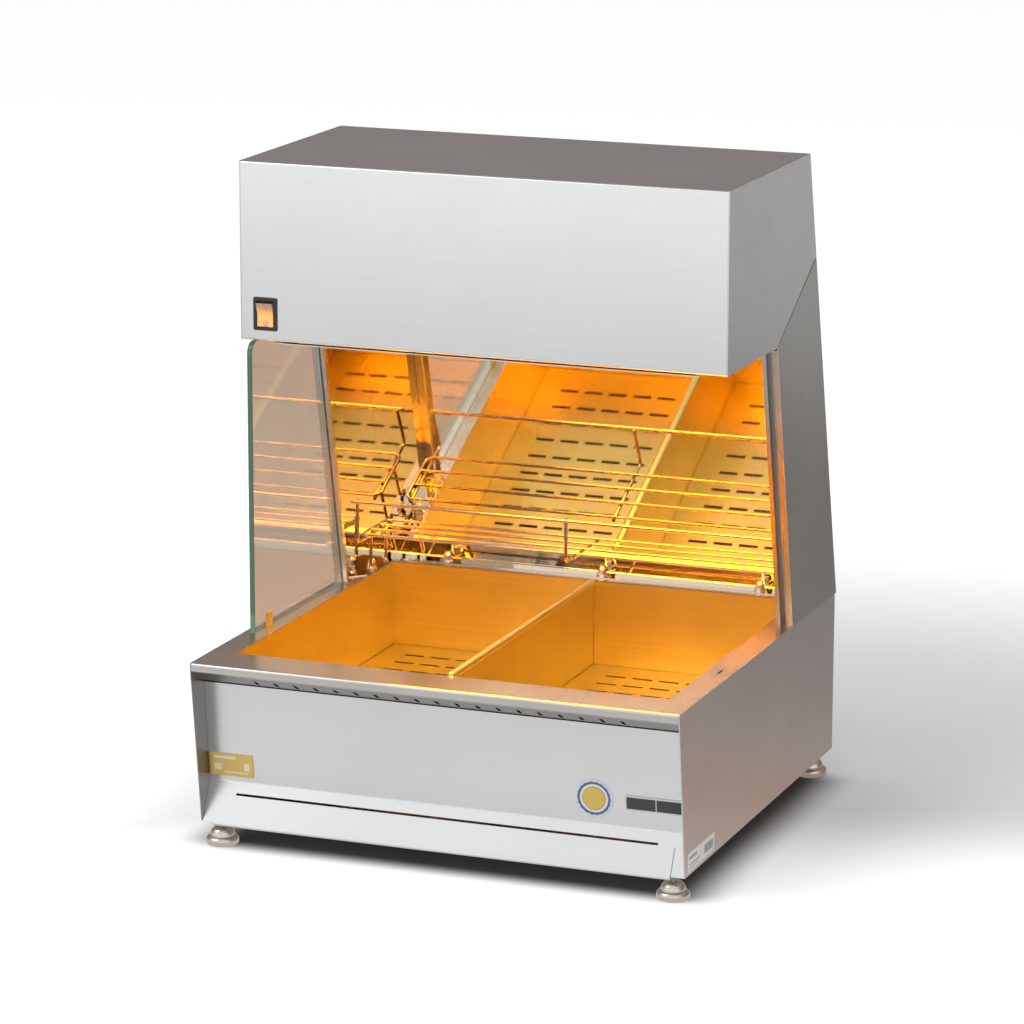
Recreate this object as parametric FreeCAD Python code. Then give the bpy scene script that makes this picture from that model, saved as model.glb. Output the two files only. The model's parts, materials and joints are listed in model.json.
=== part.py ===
"""Countertop heat lamp warmer: a base with a two-bay holding well, a leaning mirrored back,
and a lamp canopy over the well.

Millimetres. X runs to the viewer's right, Y to the back, Z up. The origin is on the counter,
at the middle of the outline. Heights are above the counter. In the helpers, "front" distances
are measured backwards from the front lip, and "side" distances inwards from a side panel's face.
"""
import FreeCAD, Part
import math
import os
from FreeCAD import Vector

# ---- overall sizes
WIDTH = 560.0
DEPTH = 551.0
HEIGHT = 739.5
BASE_TOP = 212.0
BASE_BOTTOM = 27.5
REAR_STEP = 5.0
CANOPY_HEIGHT = 196.9

# ---- sheet metal
SHEET = 1.2
LINER_SHEET = 1.0
BEND = 1.5
SEAM = 0.3

# ---- side outline of the upper part
LEAN_FRONT = 0.2174
LEAN_REAR = 0.2455
COLUMN_DEPTH = 164.3
CANOPY_FRONT = 143.0
SEAM_RISE = 77.1
SIDE_JOINT = 1.8
CANOPY_RETURN = 12.0
COLUMN_WALL = 6.0

# ---- base front
LIP_HEIGHT = 9.0
SOFFIT_DEPTH = 33.0
SOFFIT_DROP = 29.0
SIDE_SETBACK = 23.3
KINK_FRONT = 44.7
KINK_RISE = 42.5
VENT_COUNT = 19
VENT_PITCH = 23.4
VENT_WIDTH = 4.0
VENT_LENGTH = 14.0

# ---- well
WELL_SIDE = 30.0
WELL_FRONT = 55.3
WELL_REAR = 48.6
WELL_DEPTH = 102.0
LEDGE = 20.0
DIVIDER_RISE = 3.0
DIVIDER_ROLL = 4.5
DIVIDER_WEB = 3.0
DRAIN_GAP = 1.0
DRAIN_ROWS = 12
DRAIN_COLUMNS = 6
DRAIN_SLOT = (24.0, 5.0)

# ---- crumb tray
TRAY_SIDE = 36.5
TRAY_PLATE_SIDE = 16.5
TRAY_WALL = 22.0
TRAY_REAR = 56.0
TRAY_RISE = 4.5
TRAY_PLATE_RISE = 29.0
TRAY_PLATE_DROP = 3.8
TRAY_GAP = 1.8
TRAY_SHEET = 1.0
TRAY_HEM = 9.0
PLATE_GAP = 0.6
RAIL_GAP = 1.0
RAIL_SHELF = 12.0
RAIL_HEIGHT = 14.0

# ---- mirrored back
MIRROR_INSET = 10.0
MIRROR_FLANGE = 28.0
FLANGE_LIFT = 0.05
NUT_BEHIND_WELL = 23.0
NUT_X = (-191.0, 3.0, 196.0)
SIDE_NUT_AHEAD = 40.0
SIDE_NUT_OUT = 12.0
STUD_RADIUS = 3.0
NUT_FLATS = 10.0
NUT_HEIGHT = 5.0
WASHER_RADIUS = 6.5
WASHER_HEIGHT = 1.2

# ---- glass
GLASS = 6.0
GLASS_PROUD = 3.0
GLASS_TOP_GAP = 2.6
GLASS_CORNER = 13.0
CHANNEL_DEPTH = 14.0
CHANNEL_CLEAR = 0.4
CHANNEL_GAP = 0.4
CHANNEL_LIP = 3.5
CLIP_BEHIND_EDGE = 29.0
CLIP_WIDTH = 15.0
CLIP_HEIGHT = 16.0
CLIP_FOOT = 12.0
SLIT_WIDTH = 2.4

# ---- lamps
REFLECTOR_SIDE = 34.0
REFLECTOR_BEHIND = 17.0
REFLECTOR_MOUTH = 150.0
REFLECTOR_TOP = 84.0
REFLECTOR_RISE = 46.0
REFLECTOR_RIM = 9.0
RIM_DROP = 4.0
TUBE_RADIUS = 5.0
TUBE_PITCH = 56.0
TUBE_ABOVE_RIM = 21.0
HOLDER = (26.0, 18.0, 22.0)
HOLDER_GRIP = 6.0

# ---- switch
SWITCH_SIDE = 15.5
SWITCH_RISE = 11.6
BEZEL_WIDTH = 28.2
BEZEL_HEIGHT = 36.8
BEZEL_RIM = 4.2
BEZEL_PROUD = 2.0
SWITCH_DEPTH = 24.0
ROCKER_GAP = 0.6
ROCKER_TILT = 8.0
PIVOT_RADIUS = 2.0
PIVOT_DEPTH = 3.0
RUNNING_GAP = 0.05

# ---- wire rack
RACK_SHIFT = 6.0
RACK_END_GAP = 5.0
RACK_RISE = 50.5
RACK_BEHIND_RAIL = 30.5
RACK_PITCH = 25.9
RACK_WIRES = 4
RAIL_AHEAD = 160.0
RAIL_RISE = 96.0
RAIL_WIRE = 4.5
LONG_WIRE = 3.6
CROSS_WIRE = 4.0
POST_INSET = 6.0
LEG_INSET = 22.0
LEG_FAR_INSET = 10.0
LEG_HOOK = 12.0

# ---- feet
FOOT_RADIUS = 18.0
FOOT_SIDE_GAP = 0.3
FOOT_FRONT_IN = 38.6
FOOT_BACK_IN = 21.0
FOOT_BELL = 20.0
FOOT_EDGE = 1.2
FOOT_RIM = 4.6
FOOT_SHOULDER = 9.2
FOOT_STEP = 4.4
FOOT_GROOVE = 0.9
FOOT_CROWN = 6.0
STEM_RADIUS = 4.0
STEM_REACH = 10.0
SOCKET_RADIUS = 7.0

# ---- cable gland
GLAND_X = 180.0
GLAND_DROP = 71.5
GLAND_BORE = 4.0
GLAND_BARREL = 8.0
TERMINAL = (60.0, 22.0, 18.0)
TERMINAL_WAYS = 5
TERMINAL_GAP = 9.0

# ---- blank nameplate
PLATE_SIZE = (66.0, 17.0, 1.2)
PLATE_SIDE = 41.0
PLATE_HEIGHT = 98.0

# ---- rear screws
SCREW_HEAD = 4.0
SCREW_DOME = 2.2
SCREW_SIDE = 14.0

# ---- sizes and places that follow from the ones above
HALF = WIDTH / 2
BASE_DEPTH = DEPTH - REAR_STEP
CANOPY_BOTTOM = HEIGHT - CANOPY_HEIGHT
SEAM_HEIGHT = CANOPY_BOTTOM + SEAM_RISE
COLUMN_FRONT = DEPTH - COLUMN_DEPTH
KINK_HEIGHT = BASE_BOTTOM + KINK_RISE
WELL_BACK = DEPTH - WELL_REAR
WELL_FLOOR = BASE_TOP - WELL_DEPTH
TRAY_BACK = DEPTH - TRAY_REAR
TRAY_FLOOR = BASE_BOTTOM + TRAY_RISE
TRAY_PLATE_TOP = BASE_BOTTOM + TRAY_PLATE_RISE
TRAY_PLATE_BOTTOM = BASE_BOTTOM - TRAY_PLATE_DROP
MIRROR_FRONT = DEPTH - MIRROR_INSET
GLASS_SIDE = COLUMN_WALL + CHANNEL_GAP + SHEET + CHANNEL_CLEAR
GLASS_FRONT = CANOPY_FRONT - GLASS_PROUD
CLIP_FRONT = GLASS_FRONT + CLIP_BEHIND_EDGE
REFLECTOR_FRONT = CANOPY_FRONT + REFLECTOR_BEHIND
SWITCH_BOTTOM = CANOPY_BOTTOM + SWITCH_RISE
RAIL_FRONT = DEPTH - RAIL_AHEAD
RAIL_LEVEL = BASE_TOP + RAIL_RISE
RACK_FLOOR = BASE_TOP + RACK_RISE
RACK_FRONT = RAIL_FRONT + RACK_BEHIND_RAIL
RACK_HALF = HALF - COLUMN_WALL - RACK_SHIFT - RACK_END_GAP
FOOT_SIDE_IN = FOOT_RADIUS + FOOT_SIDE_GAP
GLAND_HEIGHT = HEIGHT - GLAND_DROP
INNER = HALF - SHEET - SEAM / 2
LINER_X = HALF - COLUMN_WALL
CLIP_GAP = 0.2
CLIP_X = HALF - GLASS_SIDE - GLASS - CLIP_GAP - SHEET / 2
MIRROR_TOP = CANOPY_BOTTOM - 4.0
SQUARE = math.hypot(1.0, LEAN_REAR)
NODES = {}


def front(distance):
    """Y of a point that lies a distance behind the front lip."""
    return distance - DEPTH / 2


def column_front(height):
    """Y of the leaning front edge of the columns at a height."""
    return front(COLUMN_FRONT - (height - BASE_TOP) * LEAN_FRONT)


def cover_back(height):
    """Y of the leaning rear face at a height."""
    return front(DEPTH - (height - BASE_TOP) * LEAN_REAR)


def mirror_face(height):
    """Y of the front of the mirrored back at a height."""
    return front(MIRROR_FRONT - (height - BASE_TOP) * LEAN_REAR)


def box(low, high):
    size = [b - a for a, b in zip(low, high)]
    return Part.makeBox(size[0], size[1], size[2], Vector(*low))


def rod(start, end, radius):
    axis = Vector(*end) - Vector(*start)
    return Part.makeCylinder(radius, axis.Length, Vector(*start), axis)


def prism(points, direction):
    """Solid swept straight from a closed outline of 3-D points."""
    loop = Part.makePolygon([Vector(*p) for p in points] + [Vector(*points[0])])
    return Part.Face(loop).extrude(Vector(*direction))


def side_prism(outline, x0, x1):
    """Solid between two X planes from (y, z) points."""
    return prism([(x0, y, z) for y, z in outline], (x1 - x0, 0, 0))


def flat_prism(outline, z0, z1):
    """Solid between two heights from (x, y) points."""
    return prism([(x, y, z0) for x, y in outline], (0, 0, z1 - z0))


def bent_sheet(path, x0, x1, sheet=SHEET, bend=BEND):
    """Sheet folded along (y, z) points and extruded in X; thickness is to the path's left."""
    corners = [Vector(0, y, z) for y, z in path]
    runs = [(q - p).normalize() for p, q in zip(corners, corners[1:])]
    lefts = [Vector(0, -run.z, run.y) for run in runs]
    near = []
    far = []
    near_at = corners[0]
    far_at = corners[0] + lefts[0] * sheet
    for index in range(1, len(corners) - 1):
        before, after = runs[index - 1], runs[index]
        left, left_after = lefts[index - 1], lefts[index]
        turn = math.atan2(before.cross(after).x, before.dot(after))
        side = math.copysign(1.0, turn)
        near_radius = bend + (sheet if side > 0 else 0.0)
        far_radius = bend + (0.0 if side > 0 else sheet)
        reach = near_radius * math.tan(abs(turn) / 2)
        centre = corners[index] - before * reach + left * (side * near_radius)
        spoke = (corners[index] - centre).normalize()
        for chain, at, radius in ((near, near_at, near_radius), (far, far_at, far_radius)):
            begin = centre - left * (side * radius)
            finish = centre - left_after * (side * radius)
            chain.append(Part.makeLine(at, begin))
            chain.append(Part.Arc(begin, centre + spoke * radius, finish).toShape())
        near_at = centre - left_after * (side * near_radius)
        far_at = centre - left_after * (side * far_radius)
    near_end = corners[-1]
    far_end = corners[-1] + lefts[-1] * sheet
    near.append(Part.makeLine(near_at, near_end))
    far.append(Part.makeLine(far_at, far_end))
    caps = [Part.makeLine(near_end, far_end), Part.makeLine(corners[0] + lefts[0] * sheet, corners[0])]
    wire = Part.Wire(Part.__sortEdges__(near + far + caps))
    sheet_face = Part.Face(wire)
    sheet_face.translate(Vector(x0, 0, 0))
    return sheet_face.extrude(Vector(x1 - x0, 0, 0))


def keep(name, *shapes):
    """Store a node; several shapes make a group of separate solids."""
    shape = shapes[0] if len(shapes) == 1 else Part.makeCompound(list(shapes))
    NODES[name] = shape


def mirrored(shape):
    return shape.mirror(Vector(0, 0, 0), Vector(1, 0, 0))


def base_shell():
    """Side panels, folded front panel, deck, bottom and rear sheets."""
    outline = [(front(0), BASE_TOP), (front(0), BASE_TOP - LIP_HEIGHT),
               (front(SIDE_SETBACK), BASE_BOTTOM), (front(BASE_DEPTH), BASE_BOTTOM),
               (front(BASE_DEPTH), BASE_TOP)]
    side = side_prism(outline, HALF - SHEET, HALF)
    keep("side_panel_right", side)
    keep("side_panel_left", mirrored(side))

    front_top = BASE_TOP - SOFFIT_DROP + SEAM
    path = [(front(SOFFIT_DEPTH), front_top), (front(KINK_FRONT), KINK_HEIGHT),
            (front(SIDE_SETBACK), BASE_BOTTOM)]
    panel = bent_sheet(path, -INNER, INNER, bend=3.0)
    opening = HALF - TRAY_SIDE + 1.0
    slot = box((-opening, front(-5), TRAY_FLOOR - 1.5),
               (opening, front(KINK_FRONT + 20), TRAY_PLATE_TOP + TRAY_GAP))
    keep("front_panel", panel.cut(slot))

    keep("top_deck", deck())
    floor = box((-INNER, front(SIDE_SETBACK + 3), BASE_BOTTOM),
                (INNER, front(BASE_DEPTH - SHEET - SEAM), BASE_BOTTOM + SHEET))
    keep("bottom_plate", floor.cut(foot_holes(SOCKET_RADIUS + 0.2)))
    rear = box((-INNER, front(BASE_DEPTH - SHEET), BASE_BOTTOM),
               (INNER, front(BASE_DEPTH), BASE_TOP - SHEET - SEAM))
    holes = [rod((x, front(BASE_DEPTH - 5), z), (x, front(BASE_DEPTH + 5), z), 2.0)
             for x in screw_columns() for z in base_screw_rows()]
    keep("rear_panel", rear.cut(holes))


def deck():
    """Top sheet with the well opening, front lip and slotted soffit."""
    path = [(front(BASE_DEPTH), BASE_TOP), (front(0), BASE_TOP),
            (front(0), BASE_TOP - LIP_HEIGHT),
            (front(SOFFIT_DEPTH), BASE_TOP - SOFFIT_DROP + SHEET)]
    sheet = bent_sheet(path, -INNER, INNER)
    cuts = [box((WELL_SIDE - HALF, front(WELL_FRONT), BASE_TOP - 3),
                (HALF - WELL_SIDE, front(WELL_BACK), BASE_TOP + 3))]
    for place in nut_places():
        cuts.append(rod((*place, BASE_TOP - 3), (*place, BASE_TOP + 3), STUD_RADIUS + 0.1))
    for x in (-deck_screw_x(), deck_screw_x()):
        cuts.append(Part.makeCone(2.0, 4.0, SHEET, Vector(x, deck_screw_y(), BASE_TOP - SHEET)))
    for x in (-CLIP_X, CLIP_X):
        cuts.append(box((x - SLIT_WIDTH / 2, front(CLIP_FRONT - 1), BASE_TOP - 3),
                        (x + SLIT_WIDTH / 2, front(CLIP_FRONT + CLIP_WIDTH + 1), BASE_TOP + 3)))
    slope = math.atan2(SOFFIT_DROP - LIP_HEIGHT, SOFFIT_DEPTH)
    middle = Vector(0, front(SOFFIT_DEPTH * 0.62),
                    BASE_TOP - LIP_HEIGHT - SOFFIT_DEPTH * 0.62 * math.tan(slope))
    for index in range(VENT_COUNT):
        x = (index - (VENT_COUNT - 1) / 2) * VENT_PITCH
        cuts.append(vent_cutter(x, middle, slope))
    return sheet.cut(cuts)


def vent_cutter(x, middle, slope):
    """Round-ended slot through the soffit, long way down the slope."""
    along = Vector(0, math.cos(slope), -math.sin(slope))
    across = Vector(1, 0, 0)
    half = VENT_LENGTH / 2 - VENT_WIDTH / 2
    centre = Vector(x, middle.y, middle.z)
    ends = [centre + along * half, centre - along * half]
    radius = VENT_WIDTH / 2
    lines = [Part.makeLine(ends[1] + across * radius, ends[0] + across * radius),
             Part.Arc(ends[0] + across * radius, ends[0] + along * radius,
                      ends[0] - across * radius).toShape(),
             Part.makeLine(ends[0] - across * radius, ends[1] - across * radius),
             Part.Arc(ends[1] - across * radius, ends[1] - along * radius,
                      ends[1] + across * radius).toShape()]
    face = Part.Face(Part.Wire(lines))
    through = along.cross(across) * 8
    face.translate(through * -0.5)
    return face.extrude(through)


def deck_screw_x():
    return HALF - 12.5


def deck_screw_y():
    return front(41.0)


def nut_places():
    """Cap nuts: a row behind the well and one beside each rear corner of the well."""
    y = front(WELL_BACK + NUT_BEHIND_WELL)
    row = [(x, y) for x in NUT_X]
    side_x = HALF - WELL_SIDE + SIDE_NUT_OUT
    side_y = front(WELL_BACK - SIDE_NUT_AHEAD)
    return row + [(-side_x, side_y), (side_x, side_y)]


def foot_places():
    x = HALF - FOOT_SIDE_IN
    near, far = front(FOOT_FRONT_IN), front(BASE_DEPTH - FOOT_BACK_IN)
    return {"front_left": (-x, near), "front_right": (x, near),
            "rear_left": (-x, far), "rear_right": (x, far)}


def foot_holes(radius):
    return [rod((x, y, BASE_BOTTOM - 5), (x, y, BASE_BOTTOM + 5), radius)
            for x, y in foot_places().values()]


def screw_columns():
    x = HALF - SCREW_SIDE
    return (-x, 0.0, x)


def base_screw_rows():
    return (BASE_BOTTOM + 18.0, BASE_TOP - 22.0)


def cover_screw_rows():
    return (BASE_TOP + 30.0, SEAM_HEIGHT - 30.0)


def well():
    """Folded tub with a ledge, a middle bar and one open bay each side of the bar."""
    rim = 8.0
    x_out, x_in = HALF - WELL_SIDE + SHEET, HALF - WELL_SIDE
    y_near, y_far = front(WELL_FRONT), front(WELL_BACK)
    top = BASE_TOP - SHEET - 0.1
    walls = box((-x_out, y_near - SHEET, WELL_FLOOR - SHEET), (x_out, y_far + SHEET, top))
    walls = walls.fuse(box((-x_out - rim, y_near - SHEET - rim, top - SHEET),
                           (x_out + rim, y_far + SHEET + rim, top)))
    walls = walls.cut(box((-x_in, y_near, WELL_FLOOR), (x_in, y_far, top + 5)))
    for low, high in bays(LEDGE):
        walls = walls.cut(box((low, y_near + LEDGE, WELL_FLOOR - 5),
                              (high, y_far - LEDGE, WELL_FLOOR + 5)))
    studs = [rod((*place, top - 5), (*place, top + 5), STUD_RADIUS + 0.5) for place in nut_places()]
    keep("well_tub", walls.removeSplitter().cut(studs))


def bays(margin):
    """X ranges of the two well bays, kept in from the walls by a margin."""
    wall = HALF - WELL_SIDE
    return ((-wall + margin, -margin / 2), (margin / 2, wall - margin))


def drains():
    """Perforated plates that lie on the ledge, one in each bay."""
    y_low = front(WELL_FRONT) + DRAIN_GAP
    y_high = front(WELL_BACK) - DRAIN_GAP
    inner = DIVIDER_WEB / 2 + DRAIN_GAP
    wall = HALF - WELL_SIDE - DRAIN_GAP
    for name, low, high in (("left", -wall, -inner), ("right", inner, wall)):
        plate = box((low, y_low, WELL_FLOOR), (high, y_high, WELL_FLOOR + SHEET))
        margin = LEDGE + 6
        x_step = (high - low - 2 * margin) / DRAIN_COLUMNS
        y_step = (y_high - y_low - 2 * margin) / DRAIN_ROWS
        slots = []
        for column in range(DRAIN_COLUMNS):
            for row in range(DRAIN_ROWS):
                x = low + margin + (column + 0.5) * x_step
                y = y_low + margin + (row + 0.5) * y_step
                slots.append(box((x - DRAIN_SLOT[0] / 2, y - DRAIN_SLOT[1] / 2, WELL_FLOOR - 1),
                                 (x + DRAIN_SLOT[0] / 2, y + DRAIN_SLOT[1] / 2, WELL_FLOOR + 3)))
        keep("drain_plate_" + name, plate.cut(slots))


def divider():
    """Folded sheet with a rolled top edge; its web stands on the ledge between the plates."""
    y_low, y_high = front(WELL_FRONT) + DRAIN_GAP, front(WELL_BACK) - DRAIN_GAP
    top = BASE_TOP + DIVIDER_RISE - DIVIDER_ROLL
    web = box((-DIVIDER_WEB / 2, y_low, WELL_FLOOR), (DIVIDER_WEB / 2, y_high, top))
    roll = rod((0, y_low + DIVIDER_ROLL, top), (0, y_high - DIVIDER_ROLL, top), DIVIDER_ROLL)
    ends = [Part.makeSphere(DIVIDER_ROLL, Vector(0, y, top))
            for y in (y_low + DIVIDER_ROLL, y_high - DIVIDER_ROLL)]
    keep("divider", web.fuse([roll] + ends).removeSplitter())


def plate_y(height):
    """Y of the tray plate's back face; it leans like the flare of the front panel."""
    return front(KINK_FRONT - (KINK_HEIGHT - height) * flare_lean() - PLATE_GAP)


def flare_lean():
    return (KINK_FRONT - SIDE_SETBACK) / (KINK_HEIGHT - BASE_BOTTOM)


def crumb_tray():
    """Open pan with a leaning front plate, on two rails."""
    half = HALF - TRAY_SIDE
    low, high = TRAY_FLOOR, TRAY_FLOOR + TRAY_WALL
    back = front(TRAY_BACK)
    t = TRAY_SHEET
    outer = side_prism([(plate_y(low), low), (plate_y(high), high), (back, high), (back, low)],
                       -half, half)
    hollow = side_prism([(plate_y(low + t) + t, low + t), (plate_y(high + t) + t, high + t),
                         (back - t, high + t), (back - t, low + t)], -half + t, half - t)
    keep("crumb_tray", outer.cut(hollow))

    x_plate = HALF - TRAY_PLATE_SIDE
    face = SHEET * math.hypot(1.0, flare_lean())
    bottom_y = plate_y(TRAY_PLATE_BOTTOM) - face
    path = [(plate_y(TRAY_PLATE_TOP) - face, TRAY_PLATE_TOP), (bottom_y, TRAY_PLATE_BOTTOM),
            (bottom_y + TRAY_HEM, TRAY_PLATE_BOTTOM + 0.8)]
    keep("tray_front", bent_sheet(path, -x_plate, x_plate, bend=1.0))

    rails = []
    y_front = front(KINK_FRONT + 12)
    for side in (-1, 1):
        wall = sorted((side * (half + RAIL_GAP), side * (half + RAIL_GAP + SHEET)))
        shelf = sorted((side * (half - RAIL_SHELF), side * (half + RAIL_GAP)))
        base = BASE_BOTTOM + SHEET
        rail = box((wall[0], y_front, base), (wall[1], back, base + RAIL_HEIGHT))
        rail = rail.fuse(box((shelf[0], y_front, base), (shelf[1], back, TRAY_FLOOR)))
        rails.append(rail.removeSplitter())
    keep("tray_rails", *rails)


def lean_prism(outline, z0, z1, lean):
    """Solid swept up a lean from (x, y) points given at the lower height."""
    rise = z1 - z0
    return prism([(x, y, z0) for x, y in outline], (0, -lean * rise, rise))


def columns():
    """Outer column skins, inner mirror sides, mirrored back and rear cover."""
    outline = [(column_front(BASE_TOP), BASE_TOP), (column_front(CANOPY_BOTTOM), CANOPY_BOTTOM),
               (cover_back(SEAM_HEIGHT), SEAM_HEIGHT), (cover_back(BASE_TOP), BASE_TOP)]
    skin = side_prism(outline, HALF - SHEET, HALF)
    edge = [(LINER_X, column_front(BASE_TOP)), (HALF - SHEET, column_front(BASE_TOP)),
            (HALF - SHEET, column_front(BASE_TOP) + SHEET), (LINER_X, column_front(BASE_TOP) + SHEET)]
    skin = skin.fuse(lean_prism(edge, BASE_TOP, MIRROR_TOP, LEAN_FRONT)).removeSplitter()
    keep("column_skin_right", skin)
    keep("column_skin_left", mirrored(skin))

    liner = mirror_side()
    keep("mirror_side_right", liner)
    keep("mirror_side_left", mirrored(liner))

    reach = LINER_X - 0.1
    behind = LINER_SHEET * SQUARE
    level = BASE_TOP + FLANGE_LIFT
    path = [(front(MIRROR_FRONT - MIRROR_FLANGE), level), (mirror_face(level) + behind, level),
            (mirror_face(MIRROR_TOP) + behind, MIRROR_TOP)]
    back = bent_sheet(path, -reach, reach, sheet=LINER_SHEET, bend=1.0)
    holes = [rod((*place, BASE_TOP - 2), (*place, BASE_TOP + 4), STUD_RADIUS + 0.2)
             for place in nut_places()]
    keep("mirror_back", back.cut(holes))

    top = SEAM_HEIGHT - SEAM - SHEET * LEAN_REAR
    ends = [(cover_back(z), z) for z in (BASE_TOP + SEAM, top)]
    cover = side_prism([(y - SHEET * SQUARE, z) for y, z in ends] + ends[::-1], -INNER, INNER)
    holes = [slope_rod(x, z, -6.0, 6.0, 2.0) for x in screw_columns() for z in cover_screw_rows()]
    keep("rear_cover", cover.cut(holes))


def mirror_side():
    """Flat mirror sheet inside the right column, with a foot flange on the deck."""
    level = BASE_TOP + FLANGE_LIFT
    edge = SHEET + 0.3
    outline = [(column_front(level) + edge, level), (column_front(MIRROR_TOP) + edge, MIRROR_TOP),
               (mirror_face(MIRROR_TOP) + 2, MIRROR_TOP), (mirror_face(level) + 2, level)]
    sheet = side_prism(outline, LINER_X, LINER_X + LINER_SHEET)
    inner = HALF - WELL_SIDE + 2.0
    near, far = column_front(level) + CHANNEL_DEPTH + 3, front(MIRROR_FRONT - MIRROR_FLANGE - 0.5)
    foot = flat_prism([(LINER_X, near), (inner, near + LINER_X - inner), (inner, far), (LINER_X, far)],
                      level, level + LINER_SHEET)
    holes = [rod((x, y, level - 2), (x, y, level + 4), STUD_RADIUS + 0.2) for x, y in nut_places()]
    return sheet.fuse(foot).removeSplitter().cut(holes)


def slope_rod(x, height, start, finish, radius):
    """Rod square to the rear slope, from start to finish measured outwards from its face."""
    outward = Vector(0, 1, LEAN_REAR) * (1 / SQUARE)
    face = Vector(x, cover_back(height), height)
    return Part.makeCylinder(radius, finish - start, face + outward * start, outward)


def glass_parts():
    """Channels on both column fronts, one pane on the left, and its clip."""
    outer = HALF - GLASS_SIDE + CHANNEL_CLEAR
    inner = HALF - GLASS_SIDE - GLASS - CHANNEL_CLEAR
    y = column_front(BASE_TOP)
    t = SHEET
    outline = [(outer + t, y), (outer + t, y + CHANNEL_DEPTH), (inner - t, y + CHANNEL_DEPTH),
               (inner - t, y + t), (inner - t - CHANNEL_LIP, y + t), (inner - t - CHANNEL_LIP, y),
               (inner, y), (inner, y + CHANNEL_DEPTH - t), (outer, y + CHANNEL_DEPTH - t), (outer, y)]
    outline = [(x, v + 0.4) for x, v in outline]
    channel = lean_prism(outline, BASE_TOP + FLANGE_LIFT, MIRROR_TOP, LEAN_FRONT)
    keep("glass_channel_right", channel)
    keep("glass_channel_left", mirrored(channel))

    low, high = BASE_TOP + FLANGE_LIFT, CANOPY_BOTTOM - GLASS_TOP_GAP
    depth = CHANNEL_DEPTH - t - 1.5
    pane = side_prism([(front(GLASS_FRONT), low), (front(GLASS_FRONT), high),
                       (column_front(high) + depth, high), (column_front(low) + depth, low)],
                      GLASS_SIDE - HALF, GLASS_SIDE - HALF + GLASS)
    corner = [e for e in pane.Edges if e.BoundBox.YLength < 0.1 and e.BoundBox.ZLength < 0.1
              and abs(e.CenterOfMass.z - high) < 0.1 and abs(e.CenterOfMass.y - front(GLASS_FRONT)) < 0.1]
    pane = pane.makeFillet(GLASS_CORNER, corner)
    rim = [e for e in pane.Edges if e.BoundBox.XLength < 0.1]
    keep("glass_pane", pane.makeChamfer(0.5, rim))

    y_low, y_high = front(CLIP_FRONT), front(CLIP_FRONT + CLIP_WIDTH)
    tab = box((-CLIP_X - t / 2, y_low, BASE_TOP - 6), (-CLIP_X + t / 2, y_high, BASE_TOP + CLIP_HEIGHT))
    under = BASE_TOP - t - 0.1
    foot = box((-CLIP_X - CLIP_FOOT, y_low, under - t), (-CLIP_X + t / 2, y_high, under))
    clip = tab.fuse(foot).removeSplitter()
    keep("glass_clip", clip)


def canopy():
    """Front and top in one fold, rear slope, side plates, floor sheet, reflector and terminals."""
    path = [(cover_back(HEIGHT), HEIGHT), (front(CANOPY_FRONT), HEIGHT),
            (front(CANOPY_FRONT), CANOPY_BOTTOM),
            (front(CANOPY_FRONT) + CANOPY_RETURN, CANOPY_BOTTOM)]
    wrap = bent_sheet(path, -INNER, INNER)
    x, z = switch_centre()
    half_w, half_h = BEZEL_WIDTH / 2 - 2.5, BEZEL_HEIGHT / 2 - 2.5
    window = box((x - half_w, front(CANOPY_FRONT) - 5, z - half_h),
                 (x + half_w, front(CANOPY_FRONT) + 5, z + half_h))
    hole = slope_rod(GLAND_X, GLAND_HEIGHT, -6, 6, GLAND_BARREL + 0.1)
    keep("canopy_wrap", wrap.cut(window))
    under = HEIGHT - SHEET - 0.05
    path = [(cover_back(SEAM_HEIGHT), SEAM_HEIGHT), (cover_back(under), under),
            (cover_back(under) - CANOPY_RETURN, under)]
    keep("canopy_rear", bent_sheet(path, -INNER, INNER).cut(hole))

    gap = SIDE_JOINT
    outline = [(front(CANOPY_FRONT), CANOPY_BOTTOM), (front(CANOPY_FRONT), HEIGHT),
               (cover_back(HEIGHT), HEIGHT), (cover_back(SEAM_HEIGHT + gap), SEAM_HEIGHT + gap),
               (column_front(CANOPY_BOTTOM) - gap, CANOPY_BOTTOM)]
    side = side_prism(outline, HALF - SHEET, HALF)
    keep("canopy_side_right", side)
    keep("canopy_side_left", mirrored(side))

    floor_z = CANOPY_BOTTOM + SHEET + 0.1
    floor = box((-INNER, front(CANOPY_FRONT) + SHEET + BEND + 0.5, floor_z),
                (INNER, cover_back(floor_z) - SHEET * SQUARE - 1.0, floor_z + SHEET))
    half_x = HALF - REFLECTOR_SIDE - REFLECTOR_RIM + SHEET + 0.5
    y_mid = front(REFLECTOR_FRONT + REFLECTOR_MOUTH / 2)
    half_y = REFLECTOR_MOUTH / 2 + SHEET + 0.5
    keep("canopy_floor", floor.cut(box((-half_x, y_mid - half_y, floor_z - 5),
                                       (half_x, y_mid + half_y, floor_z + 5))))
    reflector(half_x - SHEET - 0.5, y_mid)
    long, deep, tall = TERMINAL
    behind = cover_back(floor_z + SHEET + tall) - SHEET * SQUARE - TERMINAL_GAP
    low = floor_z + SHEET
    block = box((GLAND_X - long / 2, behind - deep, low), (GLAND_X + long / 2, behind, low + tall))
    pitch = long / TERMINAL_WAYS
    ways = [box((GLAND_X - long / 2 + pitch * (n + 0.25), behind - deep - 1, low + tall * 0.4),
                (GLAND_X - long / 2 + pitch * (n + 0.75), behind + 1, low + tall * 0.7))
            for n in range(TERMINAL_WAYS)]
    keep("terminal_block", block.cut(ways))


def trapezoid(y_mid, base, top, low, high):
    return [(y_mid - base / 2, low), (y_mid - top / 2, high), (y_mid + top / 2, high),
            (y_mid + base / 2, low)]


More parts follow.
